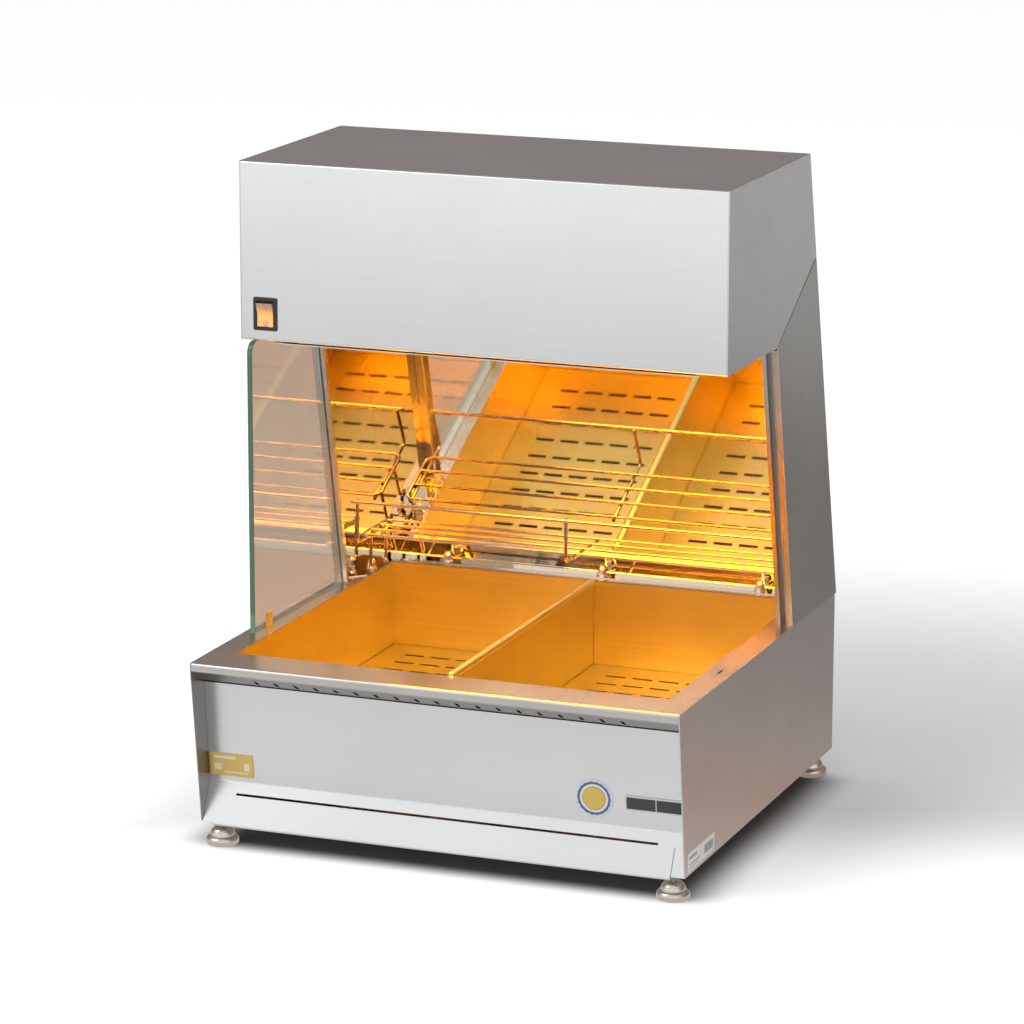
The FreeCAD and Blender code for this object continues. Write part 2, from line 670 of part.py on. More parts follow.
def reflector(half_x, y_mid):
    """Trapezoid pan with a rim, two tube lamps and their end holders."""
    rim_z = CANOPY_BOTTOM - RIM_DROP
    top_z = rim_z + REFLECTOR_RISE
    t = SHEET
    outer = side_prism(trapezoid(y_mid, REFLECTOR_MOUTH + 2 * t, REFLECTOR_TOP + 2 * t, rim_z, top_z),
                       -half_x - t, half_x + t)
    rim = box((-half_x - REFLECTOR_RIM, y_mid - REFLECTOR_MOUTH / 2 - REFLECTOR_RIM, rim_z),
              (half_x + REFLECTOR_RIM, y_mid + REFLECTOR_MOUTH / 2 + REFLECTOR_RIM, rim_z + t))
    corners = [e for e in rim.Edges if e.BoundBox.ZLength > t / 2]
    rim = rim.makeFillet(6.0, corners)
    hollow = side_prism(trapezoid(y_mid, REFLECTOR_MOUTH, REFLECTOR_TOP, rim_z, top_z - t),
                        -half_x, half_x)
    mouth = box((-half_x, y_mid - REFLECTOR_MOUTH / 2, rim_z - 2),
                (half_x, y_mid + REFLECTOR_MOUTH / 2, rim_z + 0.01))
    keep("reflector_pan", outer.fuse(rim).removeSplitter().cut([hollow, mouth]))

    z = rim_z + TUBE_ABOVE_RIM
    end = half_x - HOLDER[0] + HOLDER_GRIP
    holders = []
    for name, y in (("front", y_mid - TUBE_PITCH / 2), ("rear", y_mid + TUBE_PITCH / 2)):
        tube = rod((-end, y, z), (end, y, z), TUBE_RADIUS)
        keep("lamp_tube_" + name, tube)
        for side in (-1, 1):
            x_low, x_high = sorted((side * (half_x - HOLDER[0]), side * half_x))
            block = box((x_low, y - HOLDER[1] / 2, z - HOLDER[2] / 2),
                        (x_high, y + HOLDER[1] / 2, z + HOLDER[2] / 2))
            holders.append(block.cut(rod((-end - 0.1, y, z), (end + 0.1, y, z), TUBE_RADIUS + 0.15)))
    keep("lamp_holders", *holders)


def switch_centre():
    """X and Z of the middle of the rocker switch."""
    return SWITCH_SIDE + BEZEL_WIDTH / 2 - HALF, SWITCH_BOTTOM + BEZEL_HEIGHT / 2


def rocker_switch():
    """Bezel, body with a cavity, and a rocker on two bosses that turn about X."""
    x, z = switch_centre()
    face = front(CANOPY_FRONT)
    half_w, half_h = BEZEL_WIDTH / 2, BEZEL_HEIGHT / 2
    win_w, win_h = half_w - BEZEL_RIM, half_h - BEZEL_RIM
    bezel = box((x - half_w, face - BEZEL_PROUD, z - half_h), (x + half_w, face, z + half_h))
    edges = [e for e in bezel.Edges if e.BoundBox.YLength > 1]
    bezel = bezel.makeFillet(2.0, edges)
    rim = [e for e in bezel.Edges if abs(e.CenterOfMass.y - face + BEZEL_PROUD) < 0.01]
    bezel = bezel.makeChamfer(0.8, rim)
    bezel = bezel.cut(box((x - win_w, face - 5, z - win_h), (x + win_w, face + 5, z + win_h)))
    keep("switch_bezel", bezel)

    body_w, body_h = half_w - 2.7, half_h - 2.7
    body = box((x - body_w, face, z - body_h), (x + body_w, face + SWITCH_DEPTH, z + body_h))
    body = body.cut(box((x - win_w, face - 1, z - win_h), (x + win_w, face + 14, z + win_h)))
    pivot = face + PIVOT_DEPTH
    boss = win_w + 1.0
    hole = rod((x - boss - 0.1, pivot, z), (x + boss + 0.1, pivot, z), PIVOT_RADIUS + RUNNING_GAP)
    keep("switch_body", body.cut(hole))

    rock_w, rock_h = win_w - ROCKER_GAP, win_h - 2 * ROCKER_GAP + 0.1
    outline = [(pivot - 6.5, z + rock_h), (pivot - 4.0, z), (pivot - 6.5, z - rock_h),
               (pivot + 2.0, z - rock_h + 1.5), (pivot + 5.0, z - 6), (pivot + 5.0, z + 6),
               (pivot + 2.0, z + rock_h - 1.5)]
    rocker = side_prism(outline, x - rock_w, x + rock_w)
    rocker = rocker.fuse(rod((x - boss, pivot, z), (x + boss, pivot, z), PIVOT_RADIUS))
    rocker = rocker.removeSplitter()
    rocker.rotate(Vector(x, pivot, z), Vector(1, 0, 0), ROCKER_TILT)
    keep("switch_rocker", rocker)


def wire_run(points, radius, bend, closed=False):
    """Round wire along points: straight runs, and an arc at every inner point."""
    spots = [Vector(*p) for p in points]
    count = len(spots)
    ends = {}
    pieces = []
    for index in range(count) if closed else range(1, count - 1):
        corner = spots[index]
        to_last = (spots[index - 1] - corner).normalize()
        to_next = (spots[(index + 1) % count] - corner).normalize()
        half_angle = to_last.getAngle(to_next) / 2
        reach = bend / math.tan(half_angle)
        begin, finish = corner + to_last * reach, corner + to_next * reach
        centre = corner + (to_last + to_next).normalize() * (bend / math.sin(half_angle))
        axis = to_last.cross(to_next) * -1
        turn = math.degrees(math.pi - 2 * half_angle)
        disc = Part.Face(Part.Wire(Part.makeCircle(radius, begin, to_last)))
        arc = disc.revolve(centre, axis, turn)
        if arc.CenterOfMass.distanceToPoint(corner) > arc.CenterOfMass.distanceToPoint(centre):
            arc = disc.revolve(centre, axis * -1, turn)
        pieces.append(arc)
        ends[index] = (begin, finish)
    last = count if closed else count - 1
    for index in range(last):
        start = ends[index][1] if index in ends else spots[index]
        stop = ends[(index + 1) % count][0] if (index + 1) % count in ends else spots[(index + 1) % count]
        pieces.append(Part.makeCylinder(radius, start.distanceToPoint(stop), start, stop - start))
    return pieces[0].multiFuse(pieces[1:]).removeSplitter()


def wire_rack():
    """Welded wire shelf: looped floor, two inner wires, three bent cross wires, rail and legs."""
    low_x, high_x = RACK_SHIFT - RACK_HALF, RACK_SHIFT + RACK_HALF
    near = front(RACK_FRONT)
    far = near + RACK_PITCH * (RACK_WIRES - 1)
    r = LONG_WIRE / 2
    loop = wire_run([(low_x, near, RACK_FLOOR), (high_x, near, RACK_FLOOR), (high_x, far, RACK_FLOOR),
                     (low_x, far, RACK_FLOOR)], r, 9.0, closed=True)
    inner = [rod((low_x + r, near + RACK_PITCH * n, RACK_FLOOR),
                 (high_x - r, near + RACK_PITCH * n, RACK_FLOOR), r) for n in range(1, RACK_WIRES - 1)]
    keep("rack_floor_wires", loop, *inner)

    under = RACK_FLOOR - (LONG_WIRE + CROSS_WIRE) / 2
    post = front(RAIL_FRONT) + (RAIL_WIRE + CROSS_WIRE) / 2
    xs = (low_x + POST_INSET, RACK_SHIFT, high_x - POST_INSET)
    crosses = [wire_run([(x, post, RAIL_LEVEL + 2), (x, post, under), (x, far + 2, under)],
                        CROSS_WIRE / 2, 7.0) for x in xs]
    keep("rack_cross_wires", *crosses)

    rail = rod((low_x, front(RAIL_FRONT), RAIL_LEVEL), (high_x, front(RAIL_FRONT), RAIL_LEVEL),
               RAIL_WIRE / 2)
    ends = [e for e in rail.Edges if e.BoundBox.XLength < 0.01]
    keep("rack_rail", rail.makeFillet(1.0, ends))

    sole = BASE_TOP + FLANGE_LIFT + LINER_SHEET + CROSS_WIRE / 2 + 0.02
    y_near, y_far = front(RACK_FRONT + LEG_INSET), far - LEG_FAR_INSET
    legs = []
    for x in (xs[0] - CROSS_WIRE, xs[-1] + CROSS_WIRE):
        legs.append(wire_run([(x, y_near - LEG_HOOK, sole), (x, y_near, sole), (x, y_near, under),
                              (x, y_far, under), (x, y_far, sole), (x, y_far - LEG_HOOK, sole)],
                             CROSS_WIRE / 2, 5.0))
    keep("rack_legs", *legs)


def dome_arc(start, end):
    """Arc between two (radius, height) points that leaves the first one upright."""
    (a, low), (b, high) = start, end
    rise, run = high - low, a - b
    sag = math.tan(math.atan2(run, rise) / 2) / 2
    middle = ((a + b) / 2 + sag * rise, (low + high) / 2 + sag * run)
    return Part.Arc(*(Vector(x, 0, z) for x, z in (start, middle, end))).toShape()


def feet():
    """Levelling feet: bell pads on threaded stems, in sockets fixed to the bottom plate."""
    r, dome = FOOT_RADIUS, FOOT_RADIUS - FOOT_STEP
    rim = [(0, 0), (r - FOOT_EDGE, 0), (r, FOOT_EDGE), (r, FOOT_RIM)]
    step = [(dome + FOOT_GROOVE, FOOT_SHOULDER), (dome, FOOT_SHOULDER)]
    crown = [(FOOT_CROWN, FOOT_BELL), (0, FOOT_BELL), (0, 0)]
    lines = [Part.makePolygon([Vector(a, 0, b) for a, b in run]) for run in (rim, step, crown)]
    arcs = [dome_arc(rim[-1], step[0]), dome_arc(step[-1], crown[0])]
    loop = Part.Wire([*lines[0].Edges, arcs[0], *lines[1].Edges, arcs[1], *lines[2].Edges])
    bell = Part.Face(loop).revolve(Vector(0, 0, 0), Vector(0, 0, 1), 360)
    bell = bell.cut(rod((0, 0, FOOT_BELL - 8), (0, 0, FOOT_BELL + 1), STEM_RADIUS))
    stem_top = BASE_BOTTOM + STEM_REACH
    sockets = []
    for name, (x, y) in foot_places().items():
        keep("foot_pad_" + name, bell.translated(Vector(x, y, 0)))
        keep("foot_stem_" + name, rod((x, y, FOOT_BELL - 8), (x, y, stem_top), STEM_RADIUS))
        socket = rod((x, y, BASE_BOTTOM), (x, y, stem_top + 2), SOCKET_RADIUS)
        sockets.append(socket.cut(rod((x, y, BASE_BOTTOM - 1), (x, y, stem_top + 3),
                                      STEM_RADIUS + RUNNING_GAP)))
    keep("foot_sockets", *sockets)


def hexagon(flats, height, base=0.0):
    """Upright hexagonal prism from a base height."""
    corner = flats / math.sqrt(3)
    points = [(corner * math.cos(math.radians(60 * n)), corner * math.sin(math.radians(60 * n)))
              for n in range(6)]
    return flat_prism(points, base, base + height)


def fasteners():
    """Cap nuts on welded studs, deck screws and rear screws."""
    level = BASE_TOP + FLANGE_LIFT + LINER_SHEET
    nut = Part.makeCylinder(WASHER_RADIUS, WASHER_HEIGHT)
    body = hexagon(NUT_FLATS, NUT_HEIGHT, WASHER_HEIGHT)
    dome = Part.makeSphere(NUT_FLATS / 2 - 0.4, Vector(0, 0, WASHER_HEIGHT + NUT_HEIGHT))
    nut = nut.fuse([body, dome]).removeSplitter()
    reach = WASHER_HEIGHT + NUT_HEIGHT
    nut = nut.cut(rod((0, 0, -1), (0, 0, reach), STUD_RADIUS))
    keep("cap_nuts", *[nut.translated(Vector(x, y, level)) for x, y in nut_places()])
    keep("weld_studs", *[rod((x, y, BASE_TOP - 3.5), (x, y, level + reach), STUD_RADIUS)
                         for x, y in nut_places()])

    head = Part.makeCone(2.0, 3.9, SHEET, Vector(0, 0, -SHEET))
    shank = rod((0, 0, -12), (0, 0, -SHEET), 1.9)
    socket = hexagon(2.5, 2.0, -SHEET)
    screw = head.fuse(shank).removeSplitter().cut(socket)
    spots = [(x, deck_screw_y()) for x in (-deck_screw_x(), deck_screw_x())]
    keep("deck_screws", *[screw.translated(Vector(x, y, BASE_TOP)) for x, y in spots])

    dome = Part.makeSphere(5.0, Vector(0, 0, SCREW_DOME - 5.0))
    dome = dome.common(rod((0, 0, 0), (0, 0, 5), SCREW_HEAD))
    pan = dome.fuse(rod((0, 0, -6), (0, 0, 0), 1.9)).removeSplitter()
    recess = box((-0.5, -2.2, SCREW_DOME - 1.2), (0.5, 2.2, SCREW_DOME + 1))
    recess = recess.fuse(box((-2.2, -0.5, SCREW_DOME - 1.2), (2.2, 0.5, SCREW_DOME + 1)))
    pan = pan.cut(recess)
    screws = []
    for x in screw_columns():
        for z in base_screw_rows():
            screws.append(aimed(pan, Vector(0, 1, 0), Vector(x, front(BASE_DEPTH), z)))
        for z in cover_screw_rows():
            screws.append(aimed(pan, Vector(0, 1, LEAN_REAR), Vector(x, cover_back(z), z)))
    keep("rear_screws", *screws)


def aimed(shape, direction, place):
    """Copy with its own +Z turned to a direction and its origin put at a place."""
    turn = FreeCAD.Rotation(Vector(0, 0, 1), direction)
    copy = shape.copy()
    copy.Placement = FreeCAD.Placement(place, turn)
    return copy


def cable_gland():
    """Gland body outside the rear slope and its locknut inside, with a bore for the lead."""
    flange = hexagon(2.5 * GLAND_BARREL, 5.0)
    barrel = rod((0, 0, -10), (0, 0, 1), GLAND_BARREL)
    dome = Part.makeCone(9.5, 7.0, 9.0, Vector(0, 0, 5.0))
    body = flange.fuse([barrel, dome]).removeSplitter()
    body = body.cut(rod((0, 0, -11), (0, 0, 20), GLAND_BORE))
    face = Vector(GLAND_X, cover_back(GLAND_HEIGHT), GLAND_HEIGHT)
    outward = Vector(0, 1, LEAN_REAR)
    keep("cable_gland", aimed(body, outward, face))
    nut = hexagon(2.5 * GLAND_BARREL + 2, 4.0, -SHEET - 4.1)
    nut = nut.cut(rod((0, 0, -10), (0, 0, 1), GLAND_BARREL + 0.05))
    keep("gland_locknut", aimed(nut, outward, face))


def nameplate():
    """Blank plate on the front panel."""
    width, height, depth = PLATE_SIZE
    lean = (KINK_FRONT - SOFFIT_DEPTH) / (BASE_TOP - SOFFIT_DROP - KINK_HEIGHT)
    face = front(KINK_FRONT - (PLATE_HEIGHT - KINK_HEIGHT) * lean)
    x = HALF - PLATE_SIDE
    plate = box((x - width / 2, -depth, -height / 2), (x + width / 2, 0, height / 2))
    corners = [e for e in plate.Edges if e.BoundBox.YLength > depth / 2]
    plate = plate.makeFillet(2.0, corners)
    plate.rotate(Vector(0, 0, 0), Vector(1, 0, 0), math.degrees(math.atan(lean)))
    plate.translate(Vector(0, face - 0.15, PLATE_HEIGHT))
    keep("nameplate", plate)


base_shell()
well()
drains()
divider()
crumb_tray()
columns()
glass_parts()
canopy()
rocker_switch()
wire_rack()
feet()
fasteners()
cable_gland()
nameplate()

os.makedirs("parts", exist_ok=True)
for name, shape in NODES.items():
    shape.exportStep("parts/" + name + ".step")
    if not shape.isValid():
        print("not valid:", name)
print(len(NODES), "nodes")
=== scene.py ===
import json
import math

import bmesh
import bpy
import numpy as np
from mathutils import Matrix, Vector

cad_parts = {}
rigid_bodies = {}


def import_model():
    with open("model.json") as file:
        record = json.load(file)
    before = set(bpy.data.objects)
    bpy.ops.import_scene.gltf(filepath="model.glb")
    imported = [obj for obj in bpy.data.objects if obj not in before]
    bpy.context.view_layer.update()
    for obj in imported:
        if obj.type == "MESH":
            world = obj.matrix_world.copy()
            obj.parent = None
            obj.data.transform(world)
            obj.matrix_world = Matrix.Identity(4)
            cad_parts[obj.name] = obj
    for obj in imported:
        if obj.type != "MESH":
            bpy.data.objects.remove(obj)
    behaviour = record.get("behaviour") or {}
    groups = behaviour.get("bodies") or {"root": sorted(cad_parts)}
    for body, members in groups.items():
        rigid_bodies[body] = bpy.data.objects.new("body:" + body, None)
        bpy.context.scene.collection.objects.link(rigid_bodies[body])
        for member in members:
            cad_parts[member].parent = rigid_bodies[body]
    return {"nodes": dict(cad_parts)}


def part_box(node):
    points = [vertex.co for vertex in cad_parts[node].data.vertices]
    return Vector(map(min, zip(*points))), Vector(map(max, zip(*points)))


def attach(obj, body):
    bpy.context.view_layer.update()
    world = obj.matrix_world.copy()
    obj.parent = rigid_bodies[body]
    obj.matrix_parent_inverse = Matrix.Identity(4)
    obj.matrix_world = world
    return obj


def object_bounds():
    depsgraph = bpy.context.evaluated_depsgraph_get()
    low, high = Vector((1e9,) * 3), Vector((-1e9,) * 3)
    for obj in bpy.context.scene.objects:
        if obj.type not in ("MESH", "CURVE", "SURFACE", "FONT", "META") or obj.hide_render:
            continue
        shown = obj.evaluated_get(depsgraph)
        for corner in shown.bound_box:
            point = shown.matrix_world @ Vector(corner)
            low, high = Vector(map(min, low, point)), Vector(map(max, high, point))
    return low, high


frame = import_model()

CAD_BOX = [list(corner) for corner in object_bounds()]
NODES = frame["nodes"]


# ---------------------------------------------------------------- camera, floor and studio

EYE = Vector((1.7036, -4.4422, 1.4760))
EYE_TURN, EYE_TILT, EYE_ROLL = 21.1314, 13.3891, 0.1166
LENS, SENSOR = 155.1, 36.0


def aim_camera():
    """Long lens above and to the right of the serving side, looking slightly down."""
    turn, tilt, roll = (math.radians(a) for a in (EYE_TURN, EYE_TILT, EYE_ROLL))
    right = Vector((math.cos(turn), math.sin(turn), 0.0))
    ahead = Vector((-math.sin(turn) * math.cos(tilt), math.cos(turn) * math.cos(tilt), -math.sin(tilt)))
    up = right.cross(ahead)
    across = right * math.cos(roll) + up * math.sin(roll)
    above = up * math.cos(roll) - right * math.sin(roll)
    data = bpy.data.cameras.new("camera")
    data.lens = LENS
    data.sensor_width = SENSOR
    data.clip_end = 100.0
    camera = bpy.data.objects.new("camera", data)
    place = Matrix((across, above, -ahead)).transposed().to_4x4()
    place.translation = EYE
    camera.matrix_world = place
    bpy.context.scene.collection.objects.link(camera)
    bpy.context.scene.camera = camera


def add_node(tree, kind, settings=None, inputs=None):
    """Adds a node, sets its properties, and fills or links its inputs."""
    made = tree.nodes.new(kind)
    for key, value in (settings or {}).items():
        setattr(made, key, value)
    for key, value in (inputs or {}).items():
        socket = made.inputs[key]
        if isinstance(value, bpy.types.NodeSocket):
            tree.links.new(value, socket)
        else:
            socket.default_value = value
    return made


def maths(tree, operation, first, second=0.5, third=0.5, clamp=False):
    """Maths node; MULTIPLY_ADD gives first x second + third, and the other operations skip third."""
    made = add_node(tree, "ShaderNodeMath", {"operation": operation, "use_clamp": clamp},
                    {0: first, 1: second, 2: third})
    return made.outputs[0]


def remap(tree, value, low, high):
    """Smooth ramp of a value: 0 at low, 1 at high, whichever of the two is larger."""
    made = add_node(tree, "ShaderNodeMapRange", {"interpolation_type": "SMOOTHSTEP"},
                    {"Value": value, "From Min": low, "From Max": high})
    return made.outputs["Result"]


def grey(level):
    return (level, level, level, 1.0)


def split(tree, vector):
    """The X, Y and Z of a vector."""
    return add_node(tree, "ShaderNodeSeparateXYZ", None, {"Vector": vector}).outputs


def blend_colours(tree, share, first, second):
    made = add_node(tree, "ShaderNodeMix", {"data_type": "RGBA"},
                    {"Factor": share, "A": first, "B": second})
    return made.outputs["Result"]


# Painted reflection: the tones that polished sheet sees in place of the floor, from far before the object
# to far behind it.
FLOOR_TONES = (
    (-4.6, (1.60, 1.60, 1.60)), (-3.8, (1.30, 1.30, 1.30)), (-3.1, (0.75, 0.75, 0.75)),
    (-2.4, (0.65, 0.65, 0.65)), (-0.62, (0.80, 0.80, 0.80)), (-0.40, (0.86, 0.86, 0.86)),
    (-0.10, (0.56, 0.49, 0.45)), (0.15, (0.50, 0.37, 0.31)), (0.38, (0.415, 0.365, 0.35)),
    (0.70, (0.34, 0.31, 0.30)), (1.2, (0.31, 0.30, 0.28)), (2.0, (0.30, 0.29, 0.275)),
    (2.7, (0.57, 0.57, 0.57)), (4.6, (0.64, 0.64, 0.64)))
TONES_SPAN = 10.0              # depth that the ramp covers, centred on the object
TONES_TOP = 2.0                # the ramp holds 0 to 1, so its tones are stored divided by this
# Painted view through the pane: a fixed warm tone that rays passing through the glass see in place of what
# lies behind it.
PAINTED_VIEW_THROUGH_PANE = (0.54, 0.42, 0.35, 1.0)
FLOOR_HALF = 9.0
FLOOR_PALE, FLOOR_SHADED = 0.93, 0.10
SHADE_BESIDE = (0.045, -0.025)     # the painted shadow darkens the floor inwards between these, past the box's sides
SHADE_BEYOND = (-0.006, -0.055)    # the same past its front and back
FAR_CLEAR = (0.75, 1.5)            # distance over which a painted glow brings the floor to white
# Painted glow: the floor emits light for the camera before the object and to its left, to clear its shading
# there.
FRONT_CLEAR, FRONT_SKEW = (0.03, -0.26), -0.35
LEFT_CLEAR = (-0.28, -0.52)
PAINTED_GLOW_STRENGTH = 0.34


def painted_floor_reflection(tree, y):
    """Painted reflection of the floor: the ramp of tones that metal sees, from front to back."""
    ramp = add_node(tree, "ShaderNodeValToRGB", None,
                    {"Fac": maths(tree, "MULTIPLY_ADD", y, 1.0 / TONES_SPAN)})
    stops = ramp.color_ramp.elements
    while len(stops) < len(FLOOR_TONES):
        stops.new(0.5)
    for stop, (depth, tone) in zip(stops, FLOOR_TONES):
        stop.position = 0.5 + depth / TONES_SPAN
    for stop, (depth, tone) in zip(stops, FLOOR_TONES):
        stop.color = (*(channel / TONES_TOP for channel in tone), 1.0)
    return add_node(tree, "ShaderNodeVectorMath", {"operation": "SCALE"},
                    {0: ramp.outputs["Color"], "Scale": TONES_TOP}).outputs[0]


def lay_floor():
    """Pale floor with a faint swell. A painted shadow darkens it under the object, and a painted glow that
    only the camera sees brings it to white away from the object.

    Metal sees a painted reflection instead: a ramp of tones, brighter before the object than behind it.
    """
    side = np.linspace(-FLOOR_HALF, FLOOR_HALF, 25)
    x, y = np.meshgrid(side, side, indexing="ij")
    z = -0.0004 - 0.0002 * (1 + np.cos(x) * np.cos(y)) / 2
    floor = surface("floor", np.stack([x, y, z], -1))
    material = bpy.data.materials.new("studio floor")
    material.use_nodes = True
    tree = material.node_tree
    tree.nodes.clear()
    place = add_node(tree, "ShaderNodeTexCoord").outputs["Object"]
    axes = split(tree, place)
    painted_reflection = painted_floor_reflection(tree, axes["Y"])
    path = add_node(tree, "ShaderNodeLightPath")
    corner = CAD_BOX[1]
    # Painted contact shadow: under the object the floor's colour turns from pale to dark.
    beside = maths(tree, "SUBTRACT", maths(tree, "ABSOLUTE", axes["X"]), corner[0])
    beyond = maths(tree, "SUBTRACT", maths(tree, "ABSOLUTE", axes["Y"]), corner[1])
    under = maths(tree, "MULTIPLY", remap(tree, beside, *SHADE_BESIDE),
                  remap(tree, beyond, *SHADE_BEYOND))
    floor_with_painted_shadow = blend_colours(tree, under, grey(FLOOR_PALE), grey(FLOOR_SHADED))
    matt = add_node(tree, "ShaderNodeBsdfDiffuse", None, {"Color": floor_with_painted_shadow})
    # Painted glow seen only by camera rays, held back where the painted shadow lies.
    away = add_node(tree, "ShaderNodeVectorMath", {"operation": "LENGTH"}, {0: place}).outputs["Value"]
    slanted = maths(tree, "MULTIPLY_ADD", axes["X"], FRONT_SKEW, axes["Y"])
    open_sides = maths(tree, "MAXIMUM", remap(tree, slanted, *FRONT_CLEAR),
                       remap(tree, axes["X"], *LEFT_CLEAR))
    lift = maths(tree, "MAXIMUM", remap(tree, away, *FAR_CLEAR), open_sides)
    lift = maths(tree, "MULTIPLY", lift, maths(tree, "SUBTRACT", path.outputs["Is Camera Ray"], under))
    lift = maths(tree, "MAXIMUM", lift, 0.0)
    clear = add_node(tree, "ShaderNodeEmission", None,
                     {"Strength": maths(tree, "MULTIPLY", lift, PAINTED_GLOW_STRENGTH)})
    seen = add_node(tree, "ShaderNodeAddShader", None, {0: matt.outputs[0], 1: clear.outputs[0]})
    painted_reflection = blend_colours(tree, path.outputs["Is Transmission Ray"], painted_reflection, PAINTED_VIEW_THROUGH_PANE)
    # Glossy rays see the painted reflection as emission, not the lit floor.
    image = add_node(tree, "ShaderNodeEmission", None, {"Color": painted_reflection})
    total = add_node(tree, "ShaderNodeMixShader", None,
                     {0: path.outputs["Is Glossy Ray"], 1: seen.outputs[0], 2: image.outputs[0]})
    output = add_node(tree, "ShaderNodeOutputMaterial")
    tree.links.new(total.outputs[0], output.inputs["Surface"])
    floor.data.materials.append(material)


# Pieces that the heat lamps light; the shared ones are lit by the studio as well.
INSIDE = {"well_tub", "drain_plate_left", "drain_plate_right", "divider", "mirror_back",
          "mirror_side_left", "mirror_side_right", "reflector_pan", "lamp_holders", "canopy_floor",
          "glass_clip", "glass_channel_left", "glass_channel_right", "cap_nuts", "glass_pane"}
SHARED = {"top_deck", "column_skin_left", "column_skin_right", "glass_pane", "deck_screws"}


def light_studio():
    """Surround, a big soft key from the left, a wash for the floor, and the lamps' warm light.

    Metal sees a bright room before the object and a dim one behind it. The warm light reaches
    only the pieces inside, so that it doesn't tint the floor.
    """
    world = bpy.data.worlds.new("studio")
    bpy.context.scene.world = world
    world.use_nodes = True
    world.cycles.sampling_method = "NONE"
    tree = world.node_tree
    tree.nodes.clear()
    way = add_node(tree, "ShaderNodeTexCoord").outputs["Generated"]
    axes = split(tree, way)
    behind = remap(tree, axes["Y"], -0.7, 0.3)
    before = blend_colours(tree, remap(tree, axes["Z"], 0.05, 0.45), grey(1.25), grey(0.95))
    back = blend_colours(tree, remap(tree, axes["Z"], 0.30, 0.85), (0.26, 0.235, 0.22, 1.0), grey(0.42))
    room = blend_colours(tree, behind, before, back)
    path = add_node(tree, "ShaderNodeLightPath")
    room = blend_colours(tree, path.outputs["Is Transmission Ray"], room, PAINTED_VIEW_THROUGH_PANE)
    seen = blend_colours(tree, path.outputs["Is Glossy Ray"], (0.66, 0.662, 0.665, 1.0), room)
    sky = add_node(tree, "ShaderNodeBackground", None, {"Color": seen, "Strength": 1.0})
    output = add_node(tree, "ShaderNodeOutputWorld")
    tree.links.new(sky.outputs[0], output.inputs["Surface"])

    inside = bpy.data.collections.new("lit by the lamps")
    outside = bpy.data.collections.new("lit by the studio")
    for name, node in NODES.items():
        if name in INSIDE or name.startswith("rack_"):
            inside.objects.link(node)
        if name not in INSIDE or name in SHARED:
            outside.objects.link(node)
    outside.objects.link(bpy.data.objects["floor"])
    for name in SHARED:
        if name not in INSIDE:
            inside.objects.link(NODES[name])
    for name in ("lamp_tube_front", "lamp_tube_rear"):
        NODES[name].light_linking.receiver_collection = inside
    for piece in [*inside.objects, NODES["lamp_tube_front"], NODES["lamp_tube_rear"]]:
        piece.visible_diffuse = False

    def lamp(name, power, size, place, target, colour=(1.0, 1.0, 1.0), height=None, onto=outside):
        data = bpy.data.lights.new(name, "AREA")
        data.energy = power
        data.color = colour
        data.size = size
        if height:
            data.shape = "RECTANGLE"
            data.size_y = height
        made = bpy.data.objects.new(name, data)
        made.location = place
        made.rotation_euler = (Vector(target) - Vector(place)).to_track_quat("-Z", "Y").to_euler()
        made.visible_camera = False
        made.light_linking.receiver_collection = onto
        bpy.context.scene.collection.objects.link(made)

    ground = bpy.data.collections.new("lit by the wash")
    ground.objects.link(bpy.data.objects["floor"])
    lamp("key", 46.0, 2.6, (-2.6, -1.9, 3.4), (0.0, 0.0, 0.2), (1.0, 0.995, 0.98))
    lamp("floor wash", 62.0, 2.2, (-2.0, -3.3, 2.2), (0.0, -0.5, 0.0), onto=ground)
    low, high_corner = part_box("reflector_pan")
    middle = (low + high_corner) / 2
    mouth = (middle.x, middle.y, low.z + 0.016)
    lamp("lamp glow", 9.2, 0.40, mouth, (middle.x, middle.y, 0.0), (1.0, 0.34, 0.0), 0.12, inside)


# ---------------------------------------------------------------- meshes from arrays

def weld(mesh):
    """Merges the points that meet at a pole, so that it closes."""
    work = bmesh.new()
    work.from_mesh(mesh)
    bmesh.ops.remove_doubles(work, verts=work.verts, dist=1e-6)
    work.to_mesh(mesh)
    work.free()


def mesh_object(name, points, quads):
    """Smooth, welded object from points shaped (count, 3) and four corners for each face."""
    mesh = bpy.data.meshes.new(name)
    mesh.from_pydata(points.tolist(), [], quads.tolist())
    weld(mesh)
    mesh.polygons.foreach_set("use_smooth", np.full(len(mesh.polygons), True))
    mesh.update()
    made = bpy.data.objects.new(name, mesh)
    bpy.context.scene.collection.objects.link(made)
    return made


def grid_quads(rows, columns, around=False, along=False):
    """Faces of a grid; around joins its last column to the first, and along its last row."""
    index = np.arange(rows * columns).reshape(rows, columns)
    if around:
        index = np.concatenate([index, index[:, :1]], 1)
    if along:
        index = np.concatenate([index, index[:1]], 0)
    return np.stack([index[:-1, :-1], index[:-1, 1:], index[1:, 1:], index[1:, :-1]], -1).reshape(-1, 4)


def surface(name, points, around=False, along=False):
    """Object over one grid of points shaped (rows, columns, 3)."""
    return mesh_object(name, points.reshape(-1, 3), grid_quads(*points.shape[:2], around, along))


def joined(name, grids):
    """One object from several grids, each closed around."""
    points, quads, start = [], [], 0
    for grid in grids:
        quads.append(grid_quads(*grid.shape[:2], around=True) + start)
        points.append(grid.reshape(-1, 3))
        start += len(points[-1])
    return mesh_object(name, np.concatenate(points), np.concatenate(quads))


